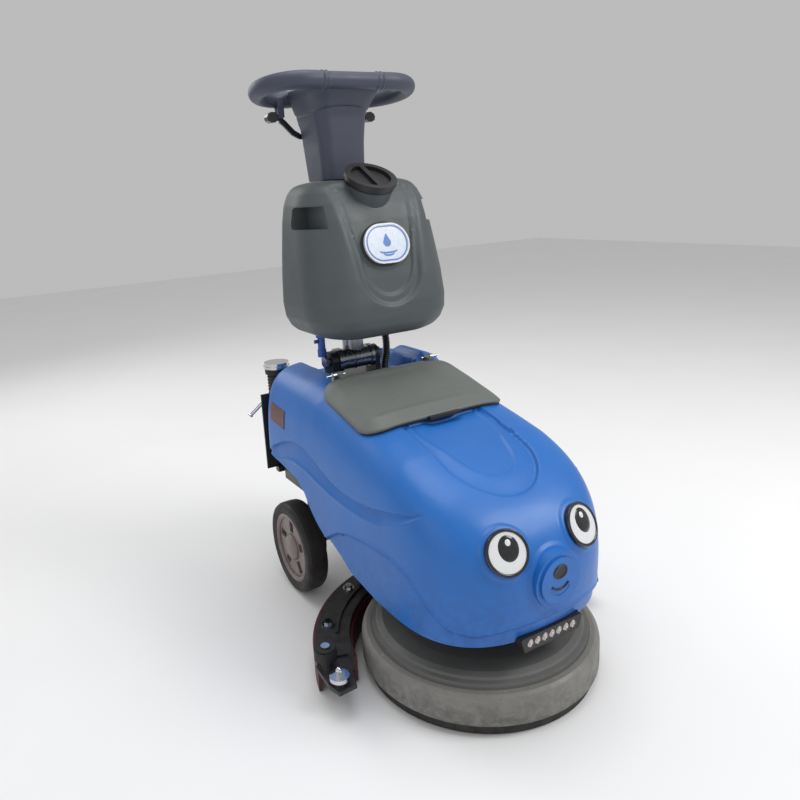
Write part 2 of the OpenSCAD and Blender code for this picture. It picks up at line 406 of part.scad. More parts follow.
module clean_tank() framed() color([0.27, 0.30, 0.31]) difference() {
  union() {
    difference() {
      tank_solid(0);
      on_cap() translate([0, 0, -17.3]) cylinder(r = cap_r + 2, h = 50, $fn = 48); // seat of the cap
      difference() {
        tank_solid(tank_wall);
        hull() { for (x = [-20, 20]) translate([x*0.9, 401, 560]) cylinder(r = 12, h = 330, $fn = 32); translate([-32, 410, 560]) cube([64, 40, 330]); } // wall of the tube channel
        both() hull() for (y = [274, 358], z = [790, 824]) translate([-170, y, z]) rotate([0, 90, 0]) cylinder(r = 9, h = 64, $fn = 32); // walls of the hand pockets
      }
    }
    on_cap() hull() { translate([0, 0, -76]) cylinder(r = cap_r - 12, h = 30, $fn = 48); translate([0, 0, -19]) cylinder(r = cap_r - 4, h = 2, $fn = 48); }
    hull() { translate([-80, 405, 566]) cylinder(r = 9, h = 8, $fn = 32); } // outlet boss
    hull() { translate([76, 405, 566]) cylinder(r = 11, h = 8, $fn = 32); }
  }
  hull() { translate([0, tube_y - 1, 550]) cylinder(r = tube_r + 1, h = 400, $fn = 48); translate([-tube_r - 1, 420, 550]) cube([2*tube_r + 2, 40, 400]); } // tube channel
  both() hull() for (y = [279, 353], z = [795, 819]) translate([-170, y, z]) rotate([0, 90, 0]) cylinder(r = 9, h = 59, $fn = 32); // hand pockets
  on_cap() hull() { translate([0, 0, -95]) cylinder(r = cap_r - 17, h = 10, $fn = 48); translate([0, 0, -12]) cylinder(r = cap_r - 10, h = 1, $fn = 48); }
  hull() { translate([-80, 405, 555]) cylinder(r = 5, h = 30, $fn = 32); }
  translate([0, 251, 751]) rotate([75, 0, 0]) hull() for (x = [-12, 12]) translate([x, 0, -2.2]) cylinder(r = 39, h = 20, $fn = 48); // badge seat
}
module tank_badge() framed() color([0.85, 0.88, 0.92]) translate([0, 251, 751]) rotate([75, 0, 0]) for (x = [-11.5, 11.5]) translate([x, 0, -2.15]) cylinder(r = 38.4, h = 4, $fn = 64);
module cap_seal() framed() color([0.03, 0.03, 0.03]) on_cap() difference() { translate([0, 0, -16.7]) cylinder(r = cap_r - 4, h = 2.4, $fn = 96); translate([0, 0, -18]) cylinder(r = cap_r - 14, h = 6, $fn = 64); }
module filler_cap() framed() color([0.30, 0.33, 0.34]) on_cap() difference() {
  union() { translate([0, 0, -9]) cylinder(r = cap_r, h = 9, $fn = 96); translate([0, 0, -14]) cylinder(r = cap_r - 3, h = 5, $fn = 96); translate([0, 0, -36]) cylinder(r = cap_r - 16.5, h = 24, $fn = 64); }
  translate([0, 0, -7]) difference() { cylinder(r = cap_r - 12, h = 10, $fn = 64); translate([-5.5, -60, -1]) cube([11, 120, 12]); } // two hollows and the grip bar between
  translate([0, 0, -38]) cylinder(r = cap_r - 20, h = 27, $fn = 64);
}
module outlet_valve() framed() color([0.08, 0.20, 0.55]) { rod_z(8, -80, 405, 530, 566); rod_z(9.5, -80, 405, 514, 530); rod_z(11, -80, 405, 556, 562); rod_x(4, -96, -80, 405, 548); }
// Column cover: [height, half width, front, rear, radius]
cover_rows = [[876, 49, 388, 486, 22], [950, 52, 387, 497, 24], [1000, 58, 385, 505, 26], [1016, 63, 379, 507, 28], [1030, 70, 371, 507, 32], [1042, 77, 363, 504, 34], [1056, 80, 357, 499, 36]];
module handle_cover() framed() color([0.23, 0.25, 0.32]) difference() {
  loft([for (r = cover_rows) at_z(whole(half(r[1], r[2], r[3], r[4], r[4], 6, 2, 2)), r[0])]);
  loft([for (r = cover_rows) at_z(whole(half(r[1]-4, r[2]+4, r[3]-4, r[4]-4, r[4]-4, 6, 2, 2)), r[0] - 5)]);
  both() hull() for (z = [958, 988]) translate([-85, 482.8, z]) rotate([0, 90, 0]) cylinder(r = 4.6, h = 52, $fn = 32); // slots for the trigger arms
  both() hull() for (z = [958, 988]) translate([-85, 491.2, z]) rotate([0, 90, 0]) cylinder(r = 4.6, h = 52, $fn = 32);
  bar_tilt() for (s = [-1, 1]) { hull() translate([-120, s*bar_ey, 0]) rotate([0, 90, 0]) cylinder(r = bar_r + 0.2, h = 240, $fn = 64); }
  bar_tilt() both() hull() for (x = [53, 66]) translate([x, -bar_ey, 0]) rotate([0, 90, 0]) cylinder(r = bar_r + 1.6, h = 1, $fn = 64);
  for (x = [0, 32]) hull() for (y = [434, 455]) translate([x - 9, y, 1046]) cube([18, 1, 20]); // room below the switches
}
module bar_tilt() { translate([0, 424, 1052]) rotate([-6.5, 0, 0]) children(); }
bar_ey = 74; // half the distance between the front bar and the rear bar
module handlebar() framed() color([0.24, 0.26, 0.33]) {
  bar_tilt() {
    ex = bar_half_w - bar_r - bar_ey;
    for (s = [-1, 1]) {
      hull() translate([-ex, s*bar_ey, 0]) rotate([0, 90, 0]) cylinder(r = bar_r, h = 2*ex, $fn = 48);
      translate([s*ex, 0, 0]) rotate(s > 0 ? -90 : 90) rotate_extrude(angle = 180, $fn = 72) translate([bar_ey, 0]) circle(r = bar_r, $fn = 48);
    }
    for (s = [-1, 1]) for (x = [57, 64]) hull() translate([s*x - 1.6, -bar_ey, 0]) rotate([0, 90, 0]) cylinder(r = bar_r + 1.2, h = 3.2, $fn = 48);
  }
  both() { // trigger lugs under the rear bar, with their pin
    hull() translate([-103, 479, 1006]) cube([14, 5, 38]);
    hull() translate([-103, 490.6, 1006]) cube([14, 5, 30]);
    rod_y(2.97, -96, 480, 494, 1013);
  }
}
module on_panel() { translate([0, 424, 1056]) children(); }
module control_panel() framed() color([0.07, 0.08, 0.10]) on_panel() difference() {
  xbox([-62, -44, 0], [62, 46, 4], 14);
  translate([-40, 20, -5]) cylinder(r = 7.06, h = 20, $fn = 48);
  for (x = [0, 32]) translate([x - 8.4, 9.2, -2]) cube([16.8, 22.2, 10]);
}
module key_switch() framed() color([0.7, 0.71, 0.73]) on_panel() { translate([-40, 20, 0.3]) cylinder(r = 7, h = 7, $fn = 48); translate([-41.5, 12, 7]) cube([3, 16, 14]); }
module rocker(x) { on_panel() translate([x, 20.3, 2.5]) intersection() { rotate([0, 90, 0]) cylinder(r = 10.6, h = 16, center = true, $fn = 64); translate([-8, -12, -4.2]) cube([16, 24, 8.4]); } }
module brush_switch() framed() color([0.10, 0.45, 0.18]) rocker(0);
module water_switch() framed() color([0.10, 0.25, 0.60]) rocker(32);
module plate_y(y, t, pts) { translate([0, y, 0]) rotate([90, 0, 0]) mirror([0, 0, 1]) linear_extrude(t) polygon(pts); }
module trigger() difference() {
  union() {
    translate([-96, 484.3, 1013]) rotate([-90, 0, 0]) cylinder(r = 7, h = 6, $fn = 48);
    plate_y(484.3, 6, [[-92, 1007], [-84, 1000], [-66, 982], [-52, 974], [-40, 972], [-40, 964], [-56, 964], [-72, 972], [-90, 990], [-100, 998], [-100, 1010]]);
    plate_y(478.8, 17, [[-104.5, 1003], [-104.5, 1014], [-110, 1017.5], [-118, 1018], [-125, 1014], [-128, 1008], [-126, 1001], [-119, 997], [-110, 997.5]]);
    translate([-106, 484.3, 1001]) cube([12, 6, 12]);
  }
  rod_y(3.04, -96, 460, 500, 1013);
}
module trigger_left() framed() color([0.08, 0.09, 0.14]) trigger();
module trigger_right() framed() color([0.08, 0.09, 0.14]) mirror([1, 0, 0]) trigger();

chassis_frame();
body_shell();
recovery_tank();
battery_pack();
vacuum_motor();
brush_gearmotor();
deck_housing();
deck_upper();
splash_skirt();
rear_axle();
headlight_housing();
headlight_lenses();
eye_bezels();
eye_discs();
nose_boss();
float_valve();
suction_hose();
drain_hose();
pivot_bracket();
pivot_pin();
cable_conduit();
charge_socket();
lid_hinge();
frame_bolts();
brush_plate();
brush_bristles();
drive_shaft();
tyre_left();
rim_left();
hubcap_left();
tyre_right();
rim_right();
hubcap_right();
tank_lid();
lid_gasket();
lid_latch();
squeegee_body();
squeegee_front_blade();
squeegee_rear_blade();
squeegee_clamps();
squeegee_carriage();
bumper_roller_left();
bumper_roller_right();
drain_cap();
lift_lever();
column_tube();
pivot_barrel();
clean_tank();
tank_badge();
outlet_valve();
handle_cover();
handlebar();
control_panel();
cap_seal();
filler_cap();
trigger_left();
trigger_right();
key_switch();
brush_switch();
water_switch();
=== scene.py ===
import math

import bmesh
import bpy
import numpy as np
from mathutils import Matrix, Vector


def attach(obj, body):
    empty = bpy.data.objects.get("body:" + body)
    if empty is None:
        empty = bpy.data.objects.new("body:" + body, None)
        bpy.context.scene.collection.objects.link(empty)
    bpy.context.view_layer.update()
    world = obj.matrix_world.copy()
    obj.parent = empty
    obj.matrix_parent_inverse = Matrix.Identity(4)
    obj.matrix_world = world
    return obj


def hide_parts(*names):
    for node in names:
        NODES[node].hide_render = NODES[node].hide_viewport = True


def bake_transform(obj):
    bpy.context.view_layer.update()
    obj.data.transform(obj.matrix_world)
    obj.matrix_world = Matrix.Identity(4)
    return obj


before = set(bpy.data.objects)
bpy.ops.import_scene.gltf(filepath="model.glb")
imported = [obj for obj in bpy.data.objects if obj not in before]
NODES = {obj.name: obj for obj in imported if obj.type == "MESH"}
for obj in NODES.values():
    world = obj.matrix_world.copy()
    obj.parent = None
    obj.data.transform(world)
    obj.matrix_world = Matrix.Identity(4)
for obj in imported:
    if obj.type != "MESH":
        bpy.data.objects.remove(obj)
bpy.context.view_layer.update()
Y0 = 178.0  # all shapes below are in millimetres with the deck's centre at Y = 0
rng = np.random.RandomState(7)


def row(P):
    P = np.array(P, float)
    P[..., 1] -= Y0
    return P / 1000.0


# ------------------------------------------------------------------ materials
def material(name, color, color2=None, rough=0.45, rough_var=0.08, metallic=0.0, grain=900.0, grain_h=0.00004, blotch=9.0, blotch_mix=0.35,
             fine=None, fine_mix=0.15, wave_h=0.0, wave_scale=30.0, coat=0.0, spec=0.5, speck=None, grime_and_low_shade=None, alpha=None, sheen=0.0, scratch=0.0):
    m = bpy.data.materials.new(name)
    m.use_nodes = True
    nt = m.node_tree
    N, L = nt.nodes, nt.links
    b = N["Principled BSDF"]
    b.inputs["Metallic"].default_value = metallic
    b.inputs["Specular IOR Level"].default_value = spec
    b.inputs["Coat Weight"].default_value = coat
    b.inputs["Coat Roughness"].default_value = 0.12
    if sheen:
        b.inputs["Sheen Weight"].default_value = sheen
    if alpha is not None:
        b.inputs["Transmission Weight"].default_value = alpha
    tc = N.new("ShaderNodeTexCoord")

    def noise(scale, detail=4.0, rough_=0.55, dist=0.0):
        n = N.new("ShaderNodeTexNoise")
        n.inputs["Scale"].default_value = scale
        n.inputs["Detail"].default_value = detail
        n.inputs["Roughness"].default_value = rough_
        n.inputs["Distortion"].default_value = dist
        L.new(tc.outputs["Object"], n.inputs["Vector"])
        return n.outputs["Fac"]

    def ramp(fac, lo, hi, a=0.0, b_=1.0):
        r = N.new("ShaderNodeMapRange")
        r.inputs["From Min"].default_value = lo
        r.inputs["From Max"].default_value = hi
        r.inputs["To Min"].default_value = a
        r.inputs["To Max"].default_value = b_
        L.new(fac, r.inputs["Value"])
        return r.outputs["Result"]

    def mix(fac, a, b_):
        x = N.new("ShaderNodeMix")
        x.data_type = "RGBA"
        L.new(fac, x.inputs[0])
        for sock, val in ((x.inputs[6], a), (x.inputs[7], b_)):
            if isinstance(val, tuple):
                sock.default_value = (*val, 1.0)
            else:
                L.new(val, sock)
        return x.outputs[2]

    c2 = color2 or tuple(min(1.0, c * 1.25 + 0.01) for c in color)
    col = mix(ramp(noise(blotch, 5.0), 0.35, 0.68, 0.0, blotch_mix), tuple(color), tuple(c2))
    fine_f = noise(fine or 260.0, 3.0, 0.7)
    col = mix(ramp(fine_f, 0.3, 0.7, 0.0, fine_mix), col, tuple(max(0.0, c * 0.72) for c in color))
    if speck:
        col = mix(ramp(noise(1500.0, 2.0, 0.8), 0.62, 0.72, 0.0, 0.7), col, tuple(speck))
    rough_in = ramp(noise(blotch * 2.3, 6.0, 0.65), 0.3, 0.7, max(0.03, rough - rough_var), min(1.0, rough + rough_var))
    if grime_and_low_shade:  # tint that gathers lower down and in streaks: dust and scuffs on most parts, painted shade on the blue body, where it is a darker blue of the same hue
        grime_shade_col, zlo, zhi, amount = grime_and_low_shade
        sep = N.new("ShaderNodeSeparateXYZ")
        L.new(tc.outputs["Object"], sep.inputs[0])
        zf = ramp(sep.outputs["Z"], zlo, zhi, 1.0, 0.0)
        mul = N.new("ShaderNodeMath")
        mul.operation = "MULTIPLY"
        L.new(zf, mul.inputs[0])
        L.new(ramp(noise(38.0, 8.0, 0.72, 0.6), 0.42, 0.62, 0.0, amount), mul.inputs[1])
        col = mix(mul.outputs[0], col, tuple(grime_shade_col))
    heights = []
    if scratch:
        mp = N.new("ShaderNodeMapping")
        mp.inputs["Scale"].default_value = (1.0, 1.0, 22.0)
        L.new(tc.outputs["Object"], mp.inputs["Vector"])
        sn = N.new("ShaderNodeTexNoise")
        sn.inputs["Scale"].default_value = 90.0
        sn.inputs["Detail"].default_value = 6.0
        L.new(mp.outputs["Vector"], sn.inputs["Vector"])
        sf = ramp(sn.outputs["Fac"], 0.66, 0.74, 0.0, scratch)
        col = mix(sf, col, tuple(min(1.0, c * 1.9 + 0.08) for c in color))
        heights.append((sf, -0.00006))
    L.new(col, b.inputs["Base Color"])
    L.new(rough_in, b.inputs["Roughness"])
    prev = None
    heights += [(noise(grain, 3.0, 0.6), grain_h)]
    if wave_h:
        heights += [(noise(wave_scale, 3.0, 0.5), wave_h)]
    for f, h in heights:
        bp = N.new("ShaderNodeBump")
        bp.inputs["Strength"].default_value = 1.0
        bp.inputs["Distance"].default_value = h
        L.new(f, bp.inputs["Height"])
        if prev:
            L.new(prev, bp.inputs["Normal"])
        prev = bp.outputs["Normal"]
    L.new(prev, b.inputs["Normal"])
    return m


M = {
    # BodyBlue: the darker blue mixed in towards the bottom of the body is painted shade
    "blue": material("BodyBlue", (0.010, 0.130, 0.47), (0.016, 0.175, 0.58), rough=0.40, rough_var=0.06, grain=1300, grain_h=0.00005, blotch=5.0, blotch_mix=0.5, fine_mix=0.10, wave_h=0.0004, wave_scale=14.0, coat=0.06, grime_and_low_shade=((0.010, 0.050, 0.22), 0.14, 0.30, 0.45)),
    "tank": material("TankGrey", (0.066, 0.079, 0.083), (0.088, 0.102, 0.105), rough=0.50, grain=1100, grain_h=0.00009, blotch=7.0, fine_mix=0.2, wave_h=0.0003, wave_scale=20.0, speck=(0.13, 0.145, 0.15)),
    "lid": material("LidGrey", (0.125, 0.138, 0.128), (0.155, 0.168, 0.155), rough=0.50, grain=1100, grain_h=0.00008, blotch=9.0, fine_mix=0.2, wave_h=0.0002, wave_scale=26.0, speck=(0.20, 0.215, 0.20)),
    "navy": material("HandleNavy", (0.052, 0.060, 0.092), (0.070, 0.080, 0.115), rough=0.48, grain=1200, grain_h=0.00008, blotch=10.0, fine_mix=0.2, wave_h=0.00015, wave_scale=30.0, speck=(0.10, 0.11, 0.15)),
    "black": material("BlackPlastic", (0.012, 0.012, 0.014), (0.026, 0.026, 0.028), rough=0.46, grain=1400, grain_h=0.00006, blotch=22.0, grime_and_low_shade=((0.07, 0.06, 0.055), 0.0, 0.25, 0.5)),
    "frame": material("FramePaint", (0.014, 0.014, 0.016), (0.028, 0.028, 0.03), rough=0.38, grain=2200, grain_h=0.00004, blotch=18.0, coat=0.15, scratch=0.35),
    "deck": material("DeckGrey", (0.205, 0.198, 0.182), (0.26, 0.25, 0.23), rough=0.55, rough_var=0.14, grain=600, grain_h=0.00012, blotch=12.0, blotch_mix=0.6, fine=120.0, fine_mix=0.3, wave_h=0.0003, wave_scale=40.0, grime_and_low_shade=((0.05, 0.045, 0.04), 0.02, 0.085, 0.75), scratch=0.5),
    "deck2": material("DeckDark", (0.115, 0.119, 0.112), (0.15, 0.155, 0.147), rough=0.50, rough_var=0.12, grain=800, grain_h=0.00010, blotch=12.0, blotch_mix=0.6, wave_h=0.0002, wave_scale=36.0, grime_and_low_shade=((0.12, 0.11, 0.10), 0.07, 0.10, 0.5), scratch=0.25),
    "rubber": material("Rubber", (0.010, 0.010, 0.010), (0.022, 0.021, 0.020), rough=0.62, rough_var=0.12, grain=900, grain_h=0.00010, blotch=30.0, grime_and_low_shade=((0.06, 0.052, 0.045), 0.0, 0.06, 0.6)),
    "blade": material("BladeRubber", (0.085, 0.012, 0.012), (0.13, 0.022, 0.02), rough=0.52, grain=900, grain_h=0.00007, blotch=26.0, grime_and_low_shade=((0.03, 0.02, 0.02), 0.0, 0.03, 0.8)),
    "tyre": material("Tyre", (0.012, 0.012, 0.012), (0.028, 0.026, 0.024), rough=0.66, rough_var=0.14, grain=700, grain_h=0.00014, blotch=34.0, grime_and_low_shade=((0.075, 0.06, 0.05), 0.0, 0.2, 0.55)),
    "rim": material("RimTaupe", (0.235, 0.190, 0.180), (0.29, 0.24, 0.225), rough=0.42, grain=1000, grain_h=0.00006, blotch=20.0, grime_and_low_shade=((0.05, 0.035, 0.03), 0.0, 0.2, 0.7)),
    "steel": material("Steel", (0.42, 0.43, 0.45), (0.52, 0.53, 0.55), rough=0.30, rough_var=0.12, metallic=1.0, grain=500, grain_h=0.00003, blotch=50.0, scratch=0.4),
    "chrome": material("Chrome", (0.60, 0.61, 0.62), (0.70, 0.71, 0.72), rough=0.12, rough_var=0.06, metallic=1.0, grain=300, grain_h=0.00002, blotch=60.0, fine_mix=0.05),
    "alu": material("CastAluminium", (0.30, 0.31, 0.33), (0.44, 0.45, 0.47), rough=0.28, rough_var=0.12, metallic=1.0, grain=700, grain_h=0.00007, blotch=40.0, scratch=0.4),
    "motor": material("MotorPaint", (0.03, 0.031, 0.034), (0.05, 0.05, 0.054), rough=0.45, grain=1100, grain_h=0.00008, blotch=24.0),
    "bezel": material("Bezel", (0.010, 0.011, 0.018), (0.03, 0.03, 0.04), rough=0.22, grain=1500, grain_h=0.00002, blotch=60.0, coat=0.4),
    "white": material("WhitePlastic", (0.72, 0.735, 0.75), (0.80, 0.81, 0.82), rough=0.28, grain=1500, grain_h=0.00002, blotch=40.0, fine_mix=0.05, coat=0.3),
    "pupil": material("PupilBlack", (0.006, 0.007, 0.009), (0.018, 0.02, 0.024), rough=0.16, grain=1500, grain_h=0.00002, blotch=140.0, blotch_mix=0.7, coat=0.5),
    "lens": material("LampLens", (0.80, 0.76, 0.74), (0.92, 0.88, 0.86), rough=0.10, grain=900, grain_h=0.00003, blotch=220.0, coat=0.5, alpha=0.25),
    "reflect": material("LampReflector", (0.30, 0.24, 0.23), (0.42, 0.36, 0.34), rough=0.22, metallic=0.85, grain=500, grain_h=0.00005, blotch=160.0),
    "bristle": material("Bristle", (0.020, 0.032, 0.10), (0.04, 0.06, 0.16), rough=0.5, grain=2500, grain_h=0.0001, blotch=90.0),
    "badge": material("BadgePlate", (0.62, 0.69, 0.78), (0.72, 0.79, 0.86), rough=0.25, grain=900, grain_h=0.00002, blotch=80.0, blotch_mix=0.8, coat=0.3),
    "badgeblue": material("BadgeBlue", (0.05, 0.16, 0.50), (0.12, 0.28, 0.66), rough=0.28, grain=900, grain_h=0.00002, blotch=160.0, coat=0.3),
    "plate": material("SidePlate", (0.105, 0.030, 0.026), (0.145, 0.045, 0.036), rough=0.42, grain=900, grain_h=0.00004, blotch=70.0, coat=0.1),
    "plate2": material("SidePlateMark", (0.055, 0.018, 0.017), (0.08, 0.024, 0.022), rough=0.42, grain=900, grain_h=0.00003, blotch=70.0),
    # near-black ink for the mouth line; on the nose disc the same colour is painted shade of a hole
    "smile_ink_and_hole_shade": material("SmileInkAndHoleShade", (0.012, 0.010, 0.016), (0.03, 0.02, 0.03), rough=0.4, grain=900, grain_h=0.00002, blotch=90.0),
    "green": material("RockerGreen", (0.02, 0.20, 0.05), (0.03, 0.27, 0.07), rough=0.3, grain=1200, grain_h=0.00003, blotch=90.0),
    "blue2": material("RockerBlue", (0.02, 0.09, 0.38), (0.03, 0.13, 0.48), rough=0.3, grain=1200, grain_h=0.00003, blotch=90.0),
    "battery": material("BatteryCase", (0.02, 0.022, 0.025), (0.035, 0.037, 0.04), rough=0.5, grain=900, grain_h=0.00006, blotch=20.0),
}
LOOK = {
    "chassis_frame": "frame", "body_shell": "blue", "recovery_tank": "black", "battery_pack": "battery", "vacuum_motor": "motor", "brush_gearmotor": "motor",
    "deck_housing": "deck", "deck_upper": "deck2", "splash_skirt": "rubber", "rear_axle": "steel", "headlight_housing": "black", "headlight_lenses": "lens",
    "eye_bezels": "bezel", "eye_discs": "white", "nose_boss": "blue", "float_valve": "white", "suction_hose": "black", "drain_hose": "rubber", "pivot_bracket": "frame",
    "pivot_pin": "steel", "cable_conduit": "black", "charge_socket": "black", "lid_hinge": "steel", "frame_bolts": "steel", "brush_plate": "deck2", "brush_bristles": "bristle",
    "drive_shaft": "steel", "tyre_left": "tyre", "tyre_right": "tyre", "rim_left": "rim", "rim_right": "rim", "hubcap_left": "rim", "hubcap_right": "rim", "tank_lid": "lid",
    "lid_gasket": "rubber", "lid_latch": "black", "squeegee_body": "black", "squeegee_front_blade": "blade", "squeegee_rear_blade": "blade", "squeegee_clamps": "chrome",
    "squeegee_carriage": "frame", "bumper_roller_left": "rubber", "bumper_roller_right": "rubber", "drain_cap": "chrome", "lift_lever": "chrome", "column_tube": "frame",
    "pivot_barrel": "alu", "clean_tank": "tank", "tank_badge": "badge", "outlet_valve": "blue2", "handle_cover": "navy", "handlebar": "navy", "control_panel": "black",
    "cap_seal": "rubber", "filler_cap": "black", "trigger_left": "bezel", "trigger_right": "bezel", "key_switch": "steel", "brush_switch": "green", "water_switch": "blue2",
}
for node_name, look in LOOK.items():
    ob = NODES[node_name]
    if not ob.material_slots:
        ob.data.materials.append(M[look])
    for sl in ob.material_slots:
        sl.material = M[look]


# ------------------------------------------------------------------ mesh tools
def piece(name, V, F, look, body, replaces=(), smooth=True, weld=None, sharp=None):
    me = bpy.data.meshes.new(name)
    me.from_pydata([tuple(v) for v in row(V)], [], [tuple(int(i) for i in f) for f in F])
    bm = bmesh.new()
    bm.from_mesh(me)
    if weld:
        bmesh.ops.remove_doubles(bm, verts=bm.verts, dist=weld)
    bmesh.ops.dissolve_degenerate(bm, dist=1e-6, edges=bm.edges)
    bmesh.ops.recalc_face_normals(bm, faces=bm.faces)
    bm.to_mesh(me)
    bm.free()
    me.materials.append(M[look])
    ob = bpy.data.objects.new(name, me)
    bpy.context.scene.collection.objects.link(ob)
    if smooth:
        finish_shade(ob, sharp if sharp is not None else 35.0)
    if body:
        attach(ob, body)
    if replaces:
        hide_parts(*replaces)
    return ob


def finish_shade(ob, deg):
    me = ob.data
    me.shade_smooth()
    bm = bmesh.new()
    bm.from_mesh(me)
    lim = math.radians(deg)
    for e in bm.edges:
        e.smooth = not (len(e.link_faces) == 2 and e.calc_face_angle(0.0) > lim)
    bm.to_mesh(me)
    bm.free()


def grid_faces(nr, nc, base=0, close=True, flip=False):
    out = []
    last = nc if close else nc - 1
    for k in range(nr - 1):
        for j in range(last):
            a, b_, c, d = k * nc + j, k * nc + (j + 1) % nc, (k + 1) * nc + (j + 1) % nc, (k + 1) * nc + j
            f = [a + base, b_ + base, c + base, d + base]
            out.append(f[::-1] if flip else f)
    return out


def smooth(x, lo=0.0, hi=1.0):
    t = np.clip((np.asarray(x, float) - lo) / (hi - lo), 0.0, 1.0)
    return t * t * (3 - 2 * t)


def lathe(profile, n=96, axis="Z", centre=(0, 0, 0)):
    """Closed profile of (radius, height) turned about an axis through centre."""
    P = np.array(profile, float)
    t = np.linspace(0, 2 * np.pi, n, endpoint=False)
    V = np.stack([np.outer(np.cos(t), P[:, 0]), np.outer(np.sin(t), P[:, 0]), np.outer(np.ones(n), P[:, 1])], -1).reshape(-1, 3)
    m = len(P)
    F = [[i * m + j, ((i + 1) % n) * m + j, ((i + 1) % n) * m + (j + 1) % m, i * m + (j + 1) % m] for i in range(n) for j in range(m)]
    if axis == "X":
        V = V[:, [2, 0, 1]]
    return V + np.array(centre, float), F


def tube(path, radii, n=20, caps=True):
    P = np.array(path, float)
    T = np.gradient(P, axis=0)
    T /= np.linalg.norm(T, axis=1)[:, None]
    u = np.cross(T[0], [0.3, 0.9, 0.2])
    u /= np.linalg.norm(u)
    R = np.broadcast_to(np.asarray(radii, float), (len(P),))
    a = np.linspace(0, 2 * np.pi, n, endpoint=False)
    V = []
    for k in range(len(P)):
        u = u - T[k] * (u @ T[k])
        u /= np.linalg.norm(u)
        w = np.cross(T[k], u)
        V += [P[k] + R[k] * (np.cos(x) * u + np.sin(x) * w) for x in a]
    F = grid_faces(len(P), n)
    if caps:
        F.append(list(range(n))[::-1])
        F.append([(len(P) - 1) * n + i for i in range(n)])
    return np.array(V), F


def catmull(p, per):
    p = np.array(p, float)
    n = len(p)
    out = []
    for k in range(n - 1):
        a, b_, c, d = p[max(k - 1, 0)], p[k], p[k + 1], p[min(k + 2, n - 1)]
        for i in range(per):
            t = i / per
            out.append(0.5 * (2 * b_ + (c - a) * t + (2 * a - 5 * b_ + 4 * c - d) * t * t + (3 * b_ - a - 3 * c + d) * t ** 3))
    out.append(p[-1])
    return np.array(out)


def resample(P, step):
    s = np.r_[0, np.cumsum(np.linalg.norm(np.diff(P, axis=0), axis=1))]
    m = max(4, int(round(s[-1] / step)))
    q = np.linspace(0, s[-1], m + 1)
    return np.stack([np.interp(q, s, P[:, i]) for i in range(P.shape[1])], 1)


def join(parts):
    V, F, o = [], [], 0
    for v, f in parts:
        V.append(v)
        F += [[i + o for i in q] for q in f]
        o += len(v)
    return np.concatenate(V), F


def sd_round(x, y, x0, x1, y0, y1, r):
    """Signed distance to a rounded rectangle, positive inside."""
    cx, cy, hx, hy = (x0 + x1) / 2, (y0 + y1) / 2, (x1 - x0) / 2 - r, (y1 - y0) / 2 - r
    qx, qy = np.abs(x - cx) - hx, np.abs(y - cy) - hy
    return r - (np.hypot(np.maximum(qx, 0), np.maximum(qy, 0)) + np.minimum(np.maximum(qx, qy), 0))


def grid_normals(G):
    """Normals of a (rings, columns, 3) grid that closes round its columns."""
    du = np.roll(G, -1, 1) - np.roll(G, 1, 1)
    dv = np.gradient(G, axis=0)
    n = np.cross(du, dv)
    ln = np.linalg.norm(n, axis=2)
    n[ln < 1e-9] = (0, 0, 1)
    ln[ln < 1e-9] = 1
    return n / ln[..., None]


# ------------------------------------------------------------------ body shell
HW, Y1, Y2, YF, YR, PE, LOW = 190.0, 0.0, 455.0, -197.0, 515.0, 2.6, 153.0
SP = np.array([[-197, 350], [-185, 353], [-160, 357], [-116, 373], [-60, 397], [0, 421], [60, 436], [105, 446], [190, 469], [265, 487], [330, 493], [470, 494], [515, 490]], float)
ys = np.arange(-210, 530, 1.0)
hs = np.interp(ys, SP[:, 0], SP[:, 1])
kern = np.hanning(25)
kern /= kern.sum()
hs_s = np.convolve(np.pad(hs, 12, mode="edge"), kern, "valid")


def height(y):
    return np.interp(y, ys, hs_s)


def surf(x, y):
    x, y = np.asarray(x, float), np.asarray(y, float)
    yy = np.where(y < Y1, (Y1 - y) / (Y1 - YF), np.where(y > Y2, (y - Y2) / (YR - Y2), 0))
    d = np.minimum(0.9999, (np.abs(x / HW) ** PE + np.abs(yy) ** PE) ** (1 / PE))
    n = np.where((y < Y1) & (d > 0.001), 4 + 2 * (np.abs(x) / (HW * np.maximum(d, 0.001))) ** PE, 6)
    return LOW + (height(y) - LOW) * (1 - d ** n) ** (1 / n)


EDGE = np.array([[-300, 150], [20, 150], [69, 156], [137, 165], [172, 183], [202, 194], [232, 202], [260, 216], [288, 238], [311, 265], [346, 284], [405, 291], [442, 296], [530, 296]], float)
ee = np.interp(np.arange(-300, 531, 1.0), EDGE[:, 0], EDGE[:, 1])
ek = np.hanning(19)
ek /= ek.sum()
ee = np.convolve(np.pad(ee, 9, mode="edge"), ek, "valid")


def edge_z(y):
    return np.maximum(LOW, np.interp(y, np.arange(-300, 531, 1.0), ee))


WAVE_UP = np.array([[-108, 366], [-91, 365], [-60, 355], [-15, 343], [40, 330], [96, 323], [150, 323], [196, 330], [250, 348], [298, 361], [345, 362], [388, 352], [430, 336], [471, 316], [495, 300]], float)
WAVE_LO = np.array([[-108, 366], [-92, 364], [-55, 338], [16, 311], [70, 302], [126, 300], [185, 302], [243, 309], [300, 318], [352, 320], [390, 313], [425, 301], [495, 290]], float)
WY = np.arange(-108, 496, 2.0)


def soft_line(P):
    z = np.interp(WY, P[:, 0], P[:, 1])
    k = np.hanning(17)
    k /= k.sum()
    return np.convolve(np.pad(z, 8, mode="edge"), k, "valid")


WU, WL = soft_line(WAVE_UP), soft_line(WAVE_LO)


